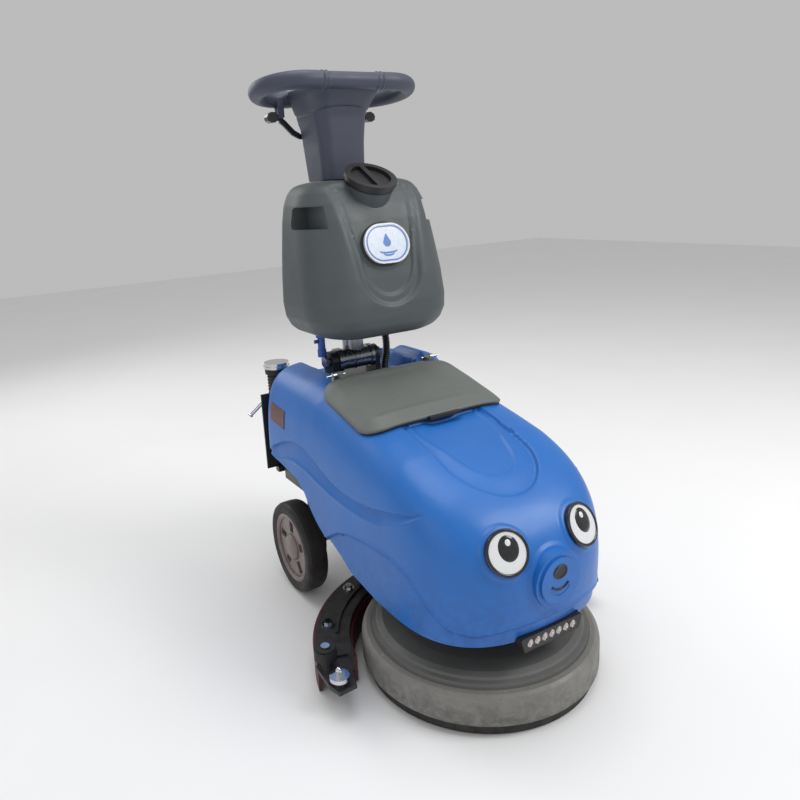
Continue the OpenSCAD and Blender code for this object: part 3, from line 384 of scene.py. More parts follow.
def body():
    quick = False
    # right half outline, dense, then even steps
    t = np.linspace(0, np.pi / 2, 1500)
    front = np.stack([HW * np.sin(t) ** (2 / PE), Y1 + (YF - Y1) * np.cos(t) ** (2 / PE), 0 * t, 0 * t + Y1, 4 + 2 * np.sin(t) ** 2], 1)
    yy = np.linspace(Y1, Y2, 400)[1:]
    side = np.stack([0 * yy + HW, yy, 0 * yy, yy, 0 * yy + 6], 1)
    t2 = np.linspace(0, np.pi / 2, 900)[1:]
    rear = np.stack([HW * np.abs(np.cos(t2)) ** (2 / 4.2), Y2 + (YR - Y2) * np.sin(t2) ** (2 / 4.2), 0 * t2, 0 * t2 + Y2, 0 * t2 + 6], 1)
    A = np.concatenate([front, side, rear])
    s = np.r_[0, np.cumsum(np.hypot(*np.diff(A[:, :2], axis=0).T))]
    half_n = 150 if quick else 330
    q = np.linspace(0, s[-1], half_n + 1)
    H = np.stack([np.interp(q, s, A[:, i]) for i in range(5)], 1)
    arc = np.r_[q, q[-2:0:-1]]
    O = np.concatenate([H, H[-2:0:-1] * np.array([-1, 1, 1, 1, 1])])
    nr = 70 if quick else 150
    ph = np.linspace(0, np.pi / 2, 700)
    G = np.zeros((nr, len(O), 3))
    for j, (px, py, bx, by, n) in enumerate(O):
        sn, kn = np.cos(ph) ** (2 / n), np.sin(ph) ** (2 / n)
        sn[-1] = 0
        x = bx + sn * (px - bx)
        y = by + sn * (py - by)
        z = LOW + (height(y) - LOW) * kn
        y = y + np.where((y < 0) & (z < 250), 10 * ((250 - z) / 97) ** 2 * (y / YF) ** 2, 0)
        e = edge_z(y)
        ok = np.nonzero(z >= e)[0]
        i0 = ok[0]
        C = np.stack([x, y, z], 1)[i0:]
        if i0 > 0:
            C[0, 2] = e[i0]
        d = np.r_[0, np.cumsum(np.linalg.norm(np.diff(C, axis=0), axis=1))]
        u = np.linspace(0, d[-1], nr)
        G[:, j] = np.stack([np.interp(u, d, C[:, i]) for i in range(3)], 1)
    base = G.copy()
    Nn = grid_normals(G)
    if (Nn[10, :, 2].mean() < -0.5) or (Nn[nr // 3] * (G[nr // 3] - [0, 150, 300])).sum(1).mean() < 0:
        Nn = -Nn
    x, y, z = G[..., 0], G[..., 1], G[..., 2]
    disp = np.zeros(x.shape)
    # scooped wave along both sides
    up, lo = np.interp(y, WY, WU), np.interp(y, WY, WL)
    t = (up - z) / np.maximum(up - lo, 1.0)
    width = up - lo
    depth = np.minimum(8.5, width * 0.34)
    prof = smooth(up - z, -1.0, 2.6) * np.clip(1 - t, 0, 1) ** 0.8
    disp -= depth * prof * (np.abs(Nn[..., 2]) < 0.93) * smooth(y, -104, -70)
    disp += 1.3 * np.exp(-((z - lo + 1.0) / 3.2) ** 2) * smooth(y, -100, -60) * (1 - smooth(y, 430, 470)) * (width > 4)
    # lower apron: a step along a line that runs round the front
    TR = np.array([[0, 187], [85, 184], [140, 177], [180, 183], [212, 204], [262, 252], [310, 263], [340, 261], [400, 255], [452, 245], [490, 231], [525, 211], [548, 197], [700, 120]], float)
    trim = np.interp(np.broadcast_to(arc, x.shape), TR[:, 0], TR[:, 1])
    am = np.broadcast_to(arc, x.shape) < 560
    disp -= (4.2 * smooth(trim - z, -1.0, 1.8) + 2.2 * np.exp(-((trim - z - 3.0) / 2.4) ** 2)) * am
    disp += 1.6 * np.exp(-((trim - z + 3.0) / 3.0) ** 2) * am
    # U-shaped channel on the hood
    hx, hy = np.abs(x), y
    cy = -30.0
    r_out = np.where(hy > cy, 89.0 - hx, 89.0 - np.hypot(hx, (hy - cy)))
    r_out = np.where(hy > cy, 88.5 + 0.0 * hx - hx, r_out)
    taper = smooth(hy, -130, 20)
    band_w = 16.0 + 26.0 * (1 - smooth(hy, -60, 60)) * (1.0 - 0.2 * taper)
    r_in = r_out - band_w
    top = (z > 330) & (y < 92)
    slope = np.clip(r_out / np.maximum(band_w, 1), 0, 1)
    disp -= np.where(top, 6.0 * smooth(r_out, -1.5, 3.4) * (1 - 0.45 * smooth(slope, 0.15, 1.0)), 0)
    disp -= np.where(top, 2.4 * smooth(r_in, -2.0, 2.0), 0)
    # raised seats round the eyes and the nose
    for sx in (-1, 1):
        ec = np.array([sx * 78.0, -171.0, float(surf(78, -171))])
        dist = np.linalg.norm(base - ec, axis=2)
        disp += 3.0 * (1 - smooth(dist, 40.5, 44.5))
    dn = np.hypot(x, z - 250)
    disp += np.where(y < -140, 3.0 * (1 - smooth(dn, 49, 54)), 0)
    G = G + Nn * disp[..., None]
    x, y, z = G[..., 0].copy(), G[..., 1].copy(), G[..., 2].copy()
    # raised shoulder right of the column
    bump = smooth(x, 104, 122) * (1 - smooth(x, 158, 186)) * smooth(y, 292, 326) * (1 - smooth(y, 405, 450))
    z = z + 17.0 * bump * (Nn[..., 2] > 0.2)
    # shallow shelf under the lid, and a sunken seat at the tank's mouth
    sl = sd_round(base[..., 0], base[..., 1], -154, 154, 90, 276, 36)
    z = z - 3.0 * smooth(sl, 0, 4) * (base[..., 2] > 380)
    # finger notch in front of the lid
    nt_ = np.exp(-((base[..., 0] / 34.0) ** 4)) * smooth(base[..., 1], 74, 82) * (1 - smooth(base[..., 1], 96, 104))
    z = z - 6.0 * nt_ * (base[..., 2] > 400)
    # trough for the folding column
    tr = sd_round(base[..., 0], base[..., 1], -97, 102, 285, 620, 22)
    z = z - np.maximum(z - 460.0, 0) * smooth(tr, -2.0, 6.0)
    G = np.stack([x, y, z], -1)
    N2 = grid_normals(G)
    if (N2 * Nn).sum(-1).mean() < 0:
        N2 = -N2
    inner_rows = np.unique(np.linspace(0, nr - 1, 26).astype(int))
    I = G[inner_rows] - 5.0 * Nn[inner_rows]
    nc = len(O)
    V = np.concatenate([G.reshape(-1, 3), I.reshape(-1, 3)])
    F = grid_faces(nr, nc) + grid_faces(len(inner_rows), nc, base=nr * nc, flip=True)
    o = nr * nc
    F += [[j, o + j, o + (j + 1) % nc, (j + 1) % nc] for j in range(nc)]
    # close both tops with strips across X
    for off, rev in (((nr - 1) * nc, False), (o + (len(inner_rows) - 1) * nc, True)):
        for j in range(half_n):
            a, b_, c, d = off + j, off + j + 1, off + (nc - j - 1) % nc, off + (nc - j) % nc
            f = [a, b_, c, d]
            f = [v for i, v in enumerate(f) if v not in f[:i]]
            if len(f) > 2:
                F.append(f[::-1] if rev else f)
    ob = piece("body_skin", V, F, "blue", "chassis", ["body_shell"], weld=2e-5, sharp=60)
    # openings: tank mouth and lamp bar recess
    cut = [prism(rrect(-131, 131, 104, 264, 24), 380, 560)]
    lamp = np.array([[-61, 135], [61, 135], [67, 139], [68, 159], [64, 163], [-64, 163], [-68, 159], [-67, 139]], float)
    v, f = prism(lamp, -240, -160)
    cut.append((v[:, [0, 2, 1]], [q_[::-1] for q_ in f]))
    cv, cf = join(cut)
    boolean(ob, cv, cf)
    finish_shade(ob, 42.0)
    return ob


def rrect(x0, x1, y0, y1, r, m=8):
    out = []
    for cx, cy, a0 in ((x1 - r, y0 + r, -90), (x1 - r, y1 - r, 0), (x0 + r, y1 - r, 90), (x0 + r, y0 + r, 180)):
        out += [[cx + r * math.cos(math.radians(a0 + 90 * i / m)), cy + r * math.sin(math.radians(a0 + 90 * i / m))] for i in range(m + 1)]
    return np.array(out)


def prism(P, z0, z1):
    n = len(P)
    V = np.concatenate([np.c_[P, np.full(n, z0)], np.c_[P, np.full(n, z1)]])
    F = [list(range(n))[::-1], [n + i for i in range(n)]] + [[i, (i + 1) % n, n + (i + 1) % n, n + i] for i in range(n)]
    return V.astype(float), F


def boolean(ob, V, F, op="DIFFERENCE"):
    me = bpy.data.meshes.new("cutter")
    me.from_pydata([tuple(v) for v in row(V)], [], [tuple(f) for f in F])
    bm = bmesh.new()
    bm.from_mesh(me)
    bmesh.ops.recalc_face_normals(bm, faces=bm.faces)
    bm.to_mesh(me)
    bm.free()
    c = bpy.data.objects.new("cutter", me)
    bpy.context.scene.collection.objects.link(c)
    mod = ob.modifiers.new("cut", "BOOLEAN")
    mod.operation = op
    mod.solver = "EXACT"
    mod.object = c
    dg = bpy.context.evaluated_depsgraph_get()
    new = bpy.data.meshes.new_from_object(ob.evaluated_get(dg))
    ob.modifiers.clear()
    mats = list(ob.data.materials)
    ob.data = new
    new.materials.clear()
    for m_ in mats:
        new.materials.append(m_)
    bpy.data.objects.remove(c)


def loft_rows(rows, zs, inset=0.0, nseg=14, nflat=18, nside=16):
    """Stacked rounded outlines. rows: [z, half width, front y, rear y, front radius, rear radius]."""
    R = np.array(rows, float)
    G = []
    for z in zs:
        hx, ya, yb, ra, rb = [np.interp(z, R[:, 0], R[:, i]) for i in range(1, 6)]
        hx, ya, yb = hx - inset, ya + inset, yb - inset
        ra, rb = max(ra - inset, 2), max(rb - inset, 2)
        h = [[(hx - ra) * i / nflat, ya] for i in range(nflat)]
        h += [[hx - ra + ra * math.cos(math.radians(a)), ya + ra + ra * math.sin(math.radians(a))] for a in np.linspace(-90, 0, nseg + 1)]
        h += [[hx, ya + ra + (yb - rb - ya - ra) * i / nside] for i in range(1, nside)]
        h += [[hx - rb + rb * math.cos(math.radians(a)), yb - rb + rb * math.sin(math.radians(a))] for a in np.linspace(0, 90, nseg + 1)]
        h += [[(hx - rb) * i / nflat, yb] for i in range(nflat - 1, -1, -1)]
        h = np.array(h)
        full = np.concatenate([h, h[-2:0:-1] * [-1, 1]])
        G.append(np.c_[full, np.full(len(full), z)])
    return np.array(G)


def smooth_rows(rows, step=2.0, win=9):
    R = np.array(rows, float)
    z = np.arange(R[0, 0], R[-1, 0] + 0.01, step)
    out = [z]
    k = np.hanning(win)
    k /= k.sum()
    h = win // 2
    for i in range(1, R.shape[1]):
        v = np.interp(z, R[:, 0], R[:, i])
        e0, e1 = v[0], v[-1]
        p = np.concatenate([2 * e0 - v[h:0:-1], v, 2 * e1 - v[-2:-h - 2:-1]])
        out.append(np.convolve(p, k, "valid"))
    return np.array(out).T


def solid_from_grid(G, extra=()):
    nr, nc = G.shape[:2]
    V = np.concatenate([G.reshape(-1, 3), [G[0].mean(0)], [G[-1].mean(0)]])
    F = grid_faces(nr, nc)
    a, b_ = nr * nc, nr * nc + 1
    F += [[a, (j + 1) % nc, j] for j in range(nc)]
    F += [[b_, (nr - 1) * nc + j, (nr - 1) * nc + (j + 1) % nc] for j in range(nc)]
    return V, F


# ------------------------------------------------------------------ tank lid
def lid():
    def half(d, m=16, f=20, g=24):
        hx, ya, yb, ra, rb = 158 - d, 86 + d, 280 - d, max(42 - d, 6), max(40 - d, 6)
        h = [[(hx - ra) * i / f, ya] for i in range(f)]
        h += [[hx - ra + ra * math.cos(math.radians(a)), ya + ra + ra * math.sin(math.radians(a))] for a in np.linspace(-90, 0, m + 1)]
        h += [[hx, ya + ra + (yb - rb - ya - ra) * i / g] for i in range(1, g)]
        h += [[hx - rb + rb * math.cos(math.radians(a)), yb - rb + rb * math.sin(math.radians(a))] for a in np.linspace(0, 90, m + 1)]
        h += [[(hx - rb) * i / f, yb] for i in range(f - 1, -1, -1)]
        h = np.array(h)
        return np.concatenate([h, h[-2:0:-1] * [-1, 1]])
    prof = [(60, 5.2), (14, 5.2), (1.2, 5.2), (0.2, 5.8), (0, 7), (0, 8.6), (0.5, 9.6), (1.6, 10.4), (3.4, 10.8), (8, 12.0), (16, 14.2), (22, 15.9), (25, 16.6), (27, 16.9), (29, 16.8), (31, 16.2), (33, 15.7), (36, 15.5), (45, 15.6), (60, 15.8)]
    rings = []
    for d, h in prof:
        P = half(d)
        z = surf(P[:, 0], P[:, 1]) + h
        rings.append(np.c_[P, z])
    for f in (0.82, 0.64, 0.46, 0.28, 0.12):  # flat middle with two long creases
        P = rings[len(prof) - 1][:, :2].copy()
        c = np.array([0, 183.0])
        P = c + (P - c) * f
        z = surf(P[:, 0], P[:, 1]) + 15.8
        rings.append(np.c_[P, z])
    G = np.array(rings)
    x, y = G[..., 0], G[..., 1]
    topm = np.zeros(G.shape[:2])
    topm[17:] = 1
    crease = 1.4 * smooth(np.abs(x), 55, 58) - 1.6 * np.exp(-((np.abs(x) - 58.5) / 2.2) ** 2) * (y > 96)
    G[..., 2] += topm * (-1.2 + crease)
    V, F = solid_from_grid(G)
    ob = piece("lid_cover", V, F, "lid", "lid", ["tank_lid"], sharp=40)
    knuckles = []
    for sgn in (-1, 1):
        v, f = lathe([(3.1, -6.5), (6, -6.5), (6, 6.5), (3.1, 6.5)], 40, "X", (sgn * 104.5, 285, 502))
        knuckles.append((v, f))
        P = np.array([[sgn * 98.2, 266], [sgn * 110.8, 266], [sgn * 110.8, 281], [sgn * 98.2, 281]])
        if sgn < 0:
            P = P[::-1]
        knuckles.append(prism(P, 496, 504))
    V, F = join(knuckles)
    piece("lid_knuckles", V, F, "lid", "lid", (), smooth=True, sharp=35)
    return ob


# ------------------------------------------------------------------ clean water tank
TANK = [[569, 92, 268, 412, 40, 26], [572, 112, 254, 421, 60, 30], [580, 132, 240, 429, 72, 36], [592, 146, 232, 434, 80, 40], [612, 156, 228, 437, 84, 42], [640, 159, 229, 438, 86, 42],
        [690, 157, 237, 438, 86, 42], [740, 153, 248, 438, 86, 42], [800, 147, 264, 438, 82, 42], [832, 141, 276, 438, 78, 42], [852, 133, 286, 437, 74, 42], [864, 122, 295, 435, 66, 40], [871, 106, 306, 431, 56, 36], [874, 84, 322, 424, 40, 30]]


def tank():
    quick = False
    zs = np.unique(np.r_[569, 569.8, 571, 572.5, 574.5, 577, 580, 583.5, 587.5, 592, np.arange(596, 850, 5.0 if quick else 2.5), np.arange(850, 864, 2.0), 864, 866, 868, 869.6, 871, 872.2, 873.2, 874])
    k = 21
    R = np.array(TANK, float)
    # gently rounded rows
    zz = np.arange(569, 874.01, 0.5)
    RR = [zz]
    for i in range(1, 6):
        v = np.interp(zz, R[:, 0], R[:, i])
        w = np.hanning(k)
        w /= w.sum()
        h = k // 2
        p = np.concatenate([2 * v[0] - v[h:0:-1], v, 2 * v[-1] - v[-2:-h - 2:-1]])
        RR.append(np.convolve(p, w, "valid"))
    RR = np.array(RR).T
    n_f = 16 if quick else 34
    G = loft_rows(RR, zs, nseg=12 if quick else 22, nflat=n_f, nside=12 if quick else 20)
    Nn = grid_normals(G)
    mid = len(zs) // 2
    if (Nn[mid] * (G[mid] - [0, 340, 700])).sum(1).mean() < 0:
        Nn = -Nn
    x, y, z = G[..., 0], G[..., 1], G[..., 2]
    frontm = (y < 330) & (z < 872)
    # U-shaped panel: outer edge narrows downwards, bottom near z = 631; its inner edge ends higher up
    def inside_u(zb, w_top, w_mid, h=75.0):
        zc = zb + h
        up_ = w_mid + (w_top - w_mid) * np.clip((z - zc) / (870 - zc), 0, 1) - np.abs(x)
        dn_ = (1 - np.hypot(x / w_mid, (zc - z) / h)) * min(w_mid, h)
        return np.where(z > zc, up_, dn_)
    so, si = inside_u(631, 98, 72), inside_u(654, 82, 58)
    dep = 5.5 * smooth(so, -2.0, 9.0) + 3.5 * smooth(si, -1.5, 3.0)
    fade = 1 - smooth(z, 858, 872)
    disp = -dep * fade * frontm
    # raised crescent below the badge catches the light
    ell = np.hypot(x / 51.0, (z - 751) / 40.5)
    disp += frontm * (1.6 * np.exp(-((ell - 1.08) / 0.06) ** 2)) * (z > 690)
    G = G + Nn * disp[..., None]
    V, F = solid_from_grid(G)
    ob = piece("clean_tank_skin", V, F, "tank", "handle", ["clean_tank"], sharp=60)
    # hand pockets, tube channel and badge seat
    cut = []
    for sgn in (-1, 1):
        P = rrect(270, 362, 786, 828, 9, 6)
        v, f = prism(P, 111, 175)
        v = v[:, [2, 0, 1]]
        v[:, 0] *= sgn
        cut.append((v, f))
    ch = np.array([[-19, 460], [-19, 411]] + [[19 * math.cos(a), 411 - 19 * math.sin(a)] for a in np.linspace(math.pi, 0, 15)][1:-1] + [[19, 411], [19, 460]])
    cut.append(prism(ch, 540, 900))
    v, f = join(cut)
    boolean(ob, v, f)
    oval = np.array([[(12 if math.cos(a) > 0 else -12) + 39 * math.cos(a), 39 * math.sin(a)] for a in np.linspace(0, 2 * math.pi, 72, endpoint=False)])
    v, f = prism(oval, -2.2, 26)
    boolean(ob, on_badge(v), f)
    # filler neck socket
    neck, cap = [], []
    v, f = lathe([(36, -70), (41, -70), (48.4, -19), (48.6, -17.2), (46, -17.0), (42.2, -17.0), (39, -40)], 96)
    neck.append((on_cap(v), f))
    v, f = join(neck)
    piece("filler_neck", v, f, "tank", "handle", (), sharp=35)
    vv, ff = prism(np.array([[54 * math.cos(a), 54 * math.sin(a)] for a in np.linspace(0, 2 * math.pi, 64, endpoint=False)]), -17.3, 30)
    boolean(ob, on_cap(vv), ff)
    finish_shade(ob, 42.0)
    # outlet boss and conduit boss under the tank
    b1 = lathe([(0.01, 566), (9, 566), (11, 569), (13, 574), (0.01, 574)], 40, "Z", (-80, 405, 0))
    b2 = lathe([(0.01, 566), (11, 566), (12.5, 569), (14, 574), (0.01, 574)], 40, "Z", (76, 405, 0))
    v, f = join([b1, b2])
    piece("tank_bosses", v, f, "tank", "handle", (), weld=2e-5, sharp=35)


def on_badge(V):
    c, s = math.cos(math.radians(75)), math.sin(math.radians(75))
    V = np.array(V, float)
    return np.stack([V[:, 0], 251 + V[:, 1] * c - V[:, 2] * s, 751 + V[:, 1] * s + V[:, 2] * c], 1)


def on_cap(V):
    c, s = math.cos(math.radians(29.5)), math.sin(math.radians(29.5))
    V = np.array(V, float)
    return np.stack([V[:, 0], 296 + V[:, 1] * c - V[:, 2] * s, 880 + V[:, 1] * s + V[:, 2] * c], 1)


def badge():
    def oval(rx, n=96):
        return np.array([[(11.5 if math.cos(a) > 0 else -11.5) + rx * math.cos(a), rx * math.sin(a)] for a in np.linspace(0, 2 * math.pi, n, endpoint=False)])

    def ring(ro, ri, z0, z1):
        a, b_ = oval(ro), oval(ri)
        n = len(a)
        V = np.concatenate([np.c_[a, np.full(n, z0)], np.c_[a, np.full(n, z1)], np.c_[b_, np.full(n, z1)], np.c_[b_, np.full(n, z0)]])
        F = [[k * n + i, k * n + (i + 1) % n, ((k + 1) % 4) * n + (i + 1) % n, ((k + 1) % 4) * n + i] for k in range(4) for i in range(n)]
        return V, F
    v, f = ring(38.6, 35.6, -2.1, 3.2)
    piece("badge_rim", on_badge(v), f, "white", "handle", (), sharp=30)
    v, f = ring(34.2, 31.6, 1.0, 2.35)
    piece("badge_ring", on_badge(v), f, "badgeblue", "handle", (), sharp=30)
    # a plain water drop with a ripple under it
    drop = []
    for a in np.linspace(0, 2 * math.pi, 48, endpoint=False):
        r = 8.5
        px, py = r * math.sin(a), r * math.cos(a)
        if py > 0:
            py = py * (1 + 1.0 * (py / r) ** 2)
            px *= (1 - 0.55 * (min(py, 17) / 17) ** 1.2)
        drop.append([px, py + 2])
    parts = [prism(np.array(drop)[::-1], 1.0, 2.4)]
    for w, yb in ((20, -13.5), (12, -18.5)):
        up_ = [[w * math.cos(a), yb - 3.0 * math.sin(a)] for a in np.linspace(math.pi, 0, 20)]
        dn = [[w * math.cos(a), yb - 1.4 - 5.0 * math.sin(a)] for a in np.linspace(0, math.pi, 20)]
        parts.append(prism(np.array(up_ + dn), 1.0, 2.3))
    v, f = join(parts)
    piece("badge_drop", on_badge(v), f, "badgeblue", "handle", (), sharp=30)


# ------------------------------------------------------------------ column cover and handlebar
COVER = [[876, 49, 388, 486, 22, 22], [950, 52, 387, 497, 24, 24], [1000, 58, 385, 505, 26, 26], [1016, 63, 379, 507, 28, 28], [1030, 70, 371, 507, 32, 32], [1042, 77, 363, 504, 34, 34], [1056, 80, 357, 499, 36, 36]]


def bar_frame(V):
    a = math.radians(-6.5)
    V = np.array(V, float)
    return np.stack([V[:, 0], 424 + V[:, 1] * math.cos(a) - V[:, 2] * math.sin(a), 1052 + V[:, 1] * math.sin(a) + V[:, 2] * math.cos(a)], 1)


def cover():
    RR = smooth_rows(COVER, 1.0, 15)
    zs = np.unique(np.r_[876, 876.6, 877.6, 879, np.arange(881, 1000, 4.0), np.arange(1000, 1050, 2.0), 1051, 1053, 1054.4, 1055.4, 1056])
    G = loft_rows(RR, zs, nseg=16, nflat=14, nside=14)
    # rounded lower and upper rims
    for k, z in enumerate(zs):
        ins = 2.2 * (1 - math.sqrt(max(0, 1 - (1 - min(1, (z - 876) / 2.2)) ** 2))) + 2.0 * (1 - math.sqrt(max(0, 1 - (1 - min(1, (1056 - z) / 2.0)) ** 2)))
        c = G[k].mean(0)
        d = G[k] - c
        ln = np.hypot(d[:, 0], d[:, 1])
        G[k, :, :2] -= (d[:, :2] / ln[:, None]) * ins
    Nn = grid_normals(G)
    mid = len(zs) // 2
    if (Nn[mid] * (G[mid] - [0, 440, G[mid, 0, 2]])).sum(1).mean() < 0:
        Nn = -Nn
    z = G[..., 2]
    x = G[..., 0]
    # a curved crease under the bar, as on a moulded collar
    line = 1016 - 7.0 * (np.abs(x) / 60.0) ** 2
    G = G + Nn * (-1.3 * np.exp(-((z - line) / 2.2) ** 2) + 1.2 * smooth(z - line, 0, 3))[..., None]
    V, F = solid_from_grid(G)
    ob = piece("column_cover_skin", V, F, "navy", "handle", ["handle_cover"], sharp=60)
    # slots for the trigger arms
    cut = []
    for sgn in (-1, 1):
        v, f = prism(rrect(478.2, 495.8, 953.4, 992.6, 4.6, 5), 36, 90)
        v = v[:, [2, 0, 1]]
        v[:, 0] *= sgn
        cut.append((v, f))
    v, f = join(cut)
    boolean(ob, v, f)
    v, f = prism(np.array([[18.3 * math.cos(a), 412 + 18.3 * math.sin(a)] for a in np.linspace(0, 2 * math.pi, 48, endpoint=False)]), 860, 1040)
    boolean(ob, v, f)
    v, f = prism(rrect(-10, 42, 430, 458, 2, 3), 1044, 1070)
    boolean(ob, v, f)
    finish_shade(ob, 40.0)


def handlebar():
    ex, ey, r = 89.0, 74.0, 16.0
    pts = [[x, -ey, 0] for x in np.linspace(-ex, ex, 60)]
    pts += [[ex + ey * math.cos(a), ey * math.sin(a), 0] for a in np.linspace(-math.pi / 2, math.pi / 2, 72)[1:]]
    pts += [[x, ey, 0] for x in np.linspace(ex, -ex, 60)[1:]]
    pts += [[-ex + ey * math.cos(a), ey * math.sin(a), 0] for a in np.linspace(math.pi / 2, 3 * math.pi / 2, 72)[1:-1]]
    P = np.array(pts)
    n = len(P)
    T = np.roll(P, -1, 0) - np.roll(P, 1, 0)
    T /= np.linalg.norm(T, axis=1)[:, None]
    B = np.cross(T, [0, 0, 1.0])
    a = np.linspace(0, 2 * np.pi, 48, endpoint=False)
    rad = np.full(n, r)
    for xr in (57, 64):  # raised rings on the front bar, with a groove between them
        m = P[:, 1] < -ey + 1
        rad += np.where(m, 2.1 * np.exp(-((np.abs(P[:, 0]) - xr) / 2.0) ** 4), 0)
    rad += 0.9 * smooth(np.abs(P[:, 0]), 66, 72)  # grips are a little fuller
    V = np.concatenate([P[k] + rad[k] * (np.outer(np.cos(a), B[k]) + np.outer(np.sin(a), [0, 0, 1.0])) for k in range(n)])
    F = []
    m = len(a)
    for k in range(n):
        for j in range(m):
            F.append([k * m + j, k * m + (j + 1) % m, ((k + 1) % n) * m + (j + 1) % m, ((k + 1) % n) * m + j])
    V = bar_frame(V)
    piece("handlebar_grip", V, F, "navy", "handle", ["handlebar"], sharp=50)
    lugs = []
    for sgn in (-1, 1):
        for y0, y1, zt in ((479.0, 484.0, 1044.0), (490.6, 495.6, 1036.0)):
            x0, x1 = 89, 103
            P2 = np.array([[x0, 1008], [x0 + 2, 1006], [x1 - 2, 1006], [x1, 1008], [x1, zt], [x0, zt]], float)
            v, f = prism(P2, y0, y1)
            v = v[:, [0, 2, 1]]
            v[:, 0] *= sgn
            lugs.append((v, f))
        v, f = lathe([(0.01, 480), (2.95, 480), (2.95, 494), (0.01, 494)], 32)
        v = np.stack([v[:, 0] + sgn * 96, v[:, 2], v[:, 1] + 1013], 1)
        lugs.append((v, f))
    v, f = join(lugs)
    piece("trigger_lugs", v, f, "navy", "handle", (), weld=2e-5, sharp=30)


# ------------------------------------------------------------------ hoses
def hoses():
    st = [[-90, 261.6, 408], [-90, 282, 409], [-98, 320, 421], [-128, 380, 426], [-150, 425, 424], [-161, 452, 392], [-166, 455, 345], [-169, 438, 308], [-169, 408, 288], [-169, 360, 278], [-169, 322, 259], [-167, 293, 228],
          [-158, 274, 192], [-140, 262, 156], [-118, 257, 124], [-99, 254, 106], [-92, 253, 90], [-92, 253, 76], [-92, 253, 64]]
    P = resample(catmull(st, 12), 1.5)
    s = np.arange(len(P)) * 1.5
    R = 10.9 + 1.6 * np.sin(s * 2 * np.pi / 7.0) ** 2
    v, f = tube(P, R, 22)
    ob = piece("suction_hose_ribbed", v, f, "black", None, ["suction_hose"], sharp=80)
    return ob


def conduit():
    st = [[74, 405, 460.6], [74, 405, 472], [78, 401, 502], [78, 401, 530], [76, 405, 555], [76, 405, 565.3]]
    P = resample(catmull(st, 12), 0.9)
    s = np.arange(len(P)) * 0.9
    R = 6.8 + 1.6 * smooth(np.sin(s * 2 * np.pi / 5.0), -0.6, 0.6)
    v, f = tube(P, R, 22)
    return piece("cable_conduit_ribbed", v, f, "black", None, ["cable_conduit"], sharp=80)


def drain():
    prof = [(0.01, 250), (20, 250), (22, 252)]
    z = 256.0
    while z < 455:
        prof += [(21.4, z), (23.4, z + 2), (23.4, z + 4), (21.4, z + 6)]
        z += 7.5
    prof += [(22, 459), (26.5, 461), (27.2, 463), (27.2, 471.5), (26, 473.8), (19.2, 474), (19.0, 448), (0.01, 448)]
    v, f = lathe(prof, 64, "Z", (-131, 541, 0))
    piece("drain_hose_ribbed", v, f, "rubber", "chassis", ["drain_hose"], weld=2e-5, sharp=50)
    clips = []
    for zc in (300, 390):
        c1, c2 = lathe([(23.6, zc), (25.4, zc), (25.4, zc + 14), (23.6, zc + 14)], 48, "Z", (-131, 541, 0))
        clips.append((c1, c2))
        clips.append(prism(np.array([[-142, 516], [-120, 516], [-120, 519], [-142, 519]], float), zc, zc + 14))
    v, f = join(clips)
    piece("drain_hose_clips", v, f, "steel", "chassis", (), sharp=30)


# ------------------------------------------------------------------ small fittings
def eye_frame(sx):
    e = 2.0
    gx = (surf(78 + e, -171) - surf(78 - e, -171)) / (2 * e)
    gy = (surf(78, -171 + e) - surf(78, -171 - e)) / (2 * e)
    n = np.array([-gx, -gy, 1.0])
    n /= np.linalg.norm(n)
    n = n * [sx, 1, 1]
    u = np.cross([0, 0, 1.0], n)
    u /= np.linalg.norm(u)
    w = np.cross(n, u)
    return np.array([sx * 78.0, -171.0, float(CADSURF)]), u, w, n


SPRAW = SP


def cad_surf(x, y):
    yy = (Y1 - y) / (Y1 - YF)
    d = min(0.9999, (abs(x / HW) ** PE + abs(yy) ** PE) ** (1 / PE))
    n = 4 + 2 * (abs(x) / (HW * d)) ** PE
    return LOW + (np.interp(y, SPRAW[:, 0], SPRAW[:, 1]) - LOW) * (1 - d ** n) ** (1 / n)


CADSURF = cad_surf(78, -171)


def dome(rx, ry, h, n=48, k=6):
    V = [[0, 0, h]]
    for i in range(1, k + 1):
        r = i / k
        z = h * math.sqrt(max(0, 1 - r * r)) if i < k else 0
        V += [[rx * r * math.cos(a), ry * r * math.sin(a), z] for a in np.linspace(0, 2 * math.pi, n, endpoint=False)]
    F = [[0, 1 + j, 1 + (j + 1) % n] for j in range(n)]
    for i in range(k - 1):
        a, b_ = 1 + i * n, 1 + (i + 1) * n
        F += [[a + j, b_ + j, b_ + (j + 1) % n, a + (j + 1) % n] for j in range(n)]
    F.append([1 + (k - 1) * n + j for j in range(n)][::-1])
    return np.array(V, float), F


def eyes():
    for sx, tag in ((-1, "left"), (1, "right")):
        c, u, w, n = eye_frame(sx)

        def place(V, du, dw, dn):
            return c + np.outer(V[:, 0] + du, u) + np.outer(V[:, 1] + dw, w) + np.outer(V[:, 2] + dn, n)
        v, f = lathe([(31.0, 3.0), (36.4, 3.0), (36.4, 5.2), (35.4, 6.8), (33.6, 7.3), (31.6, 6.8), (31.0, 6.0)], 72)
        piece(f"eye_rim_{tag}", place(v, 0, 0, 0), f, "bezel", "chassis", (), sharp=40)
        v, f = dome(17.5, 20.5, 2.2)
        piece(f"eye_pupil_{tag}", place(v, 3.0, 6.0, 5.5), f, "pupil", "chassis", (), sharp=50)
        v, f = dome(5.4, 6.0, 1.0, 32, 4)
        piece(f"eye_glint_{tag}", place(v, 3.0, 14.0, 7.0), f, "white", "chassis", (), sharp=50)


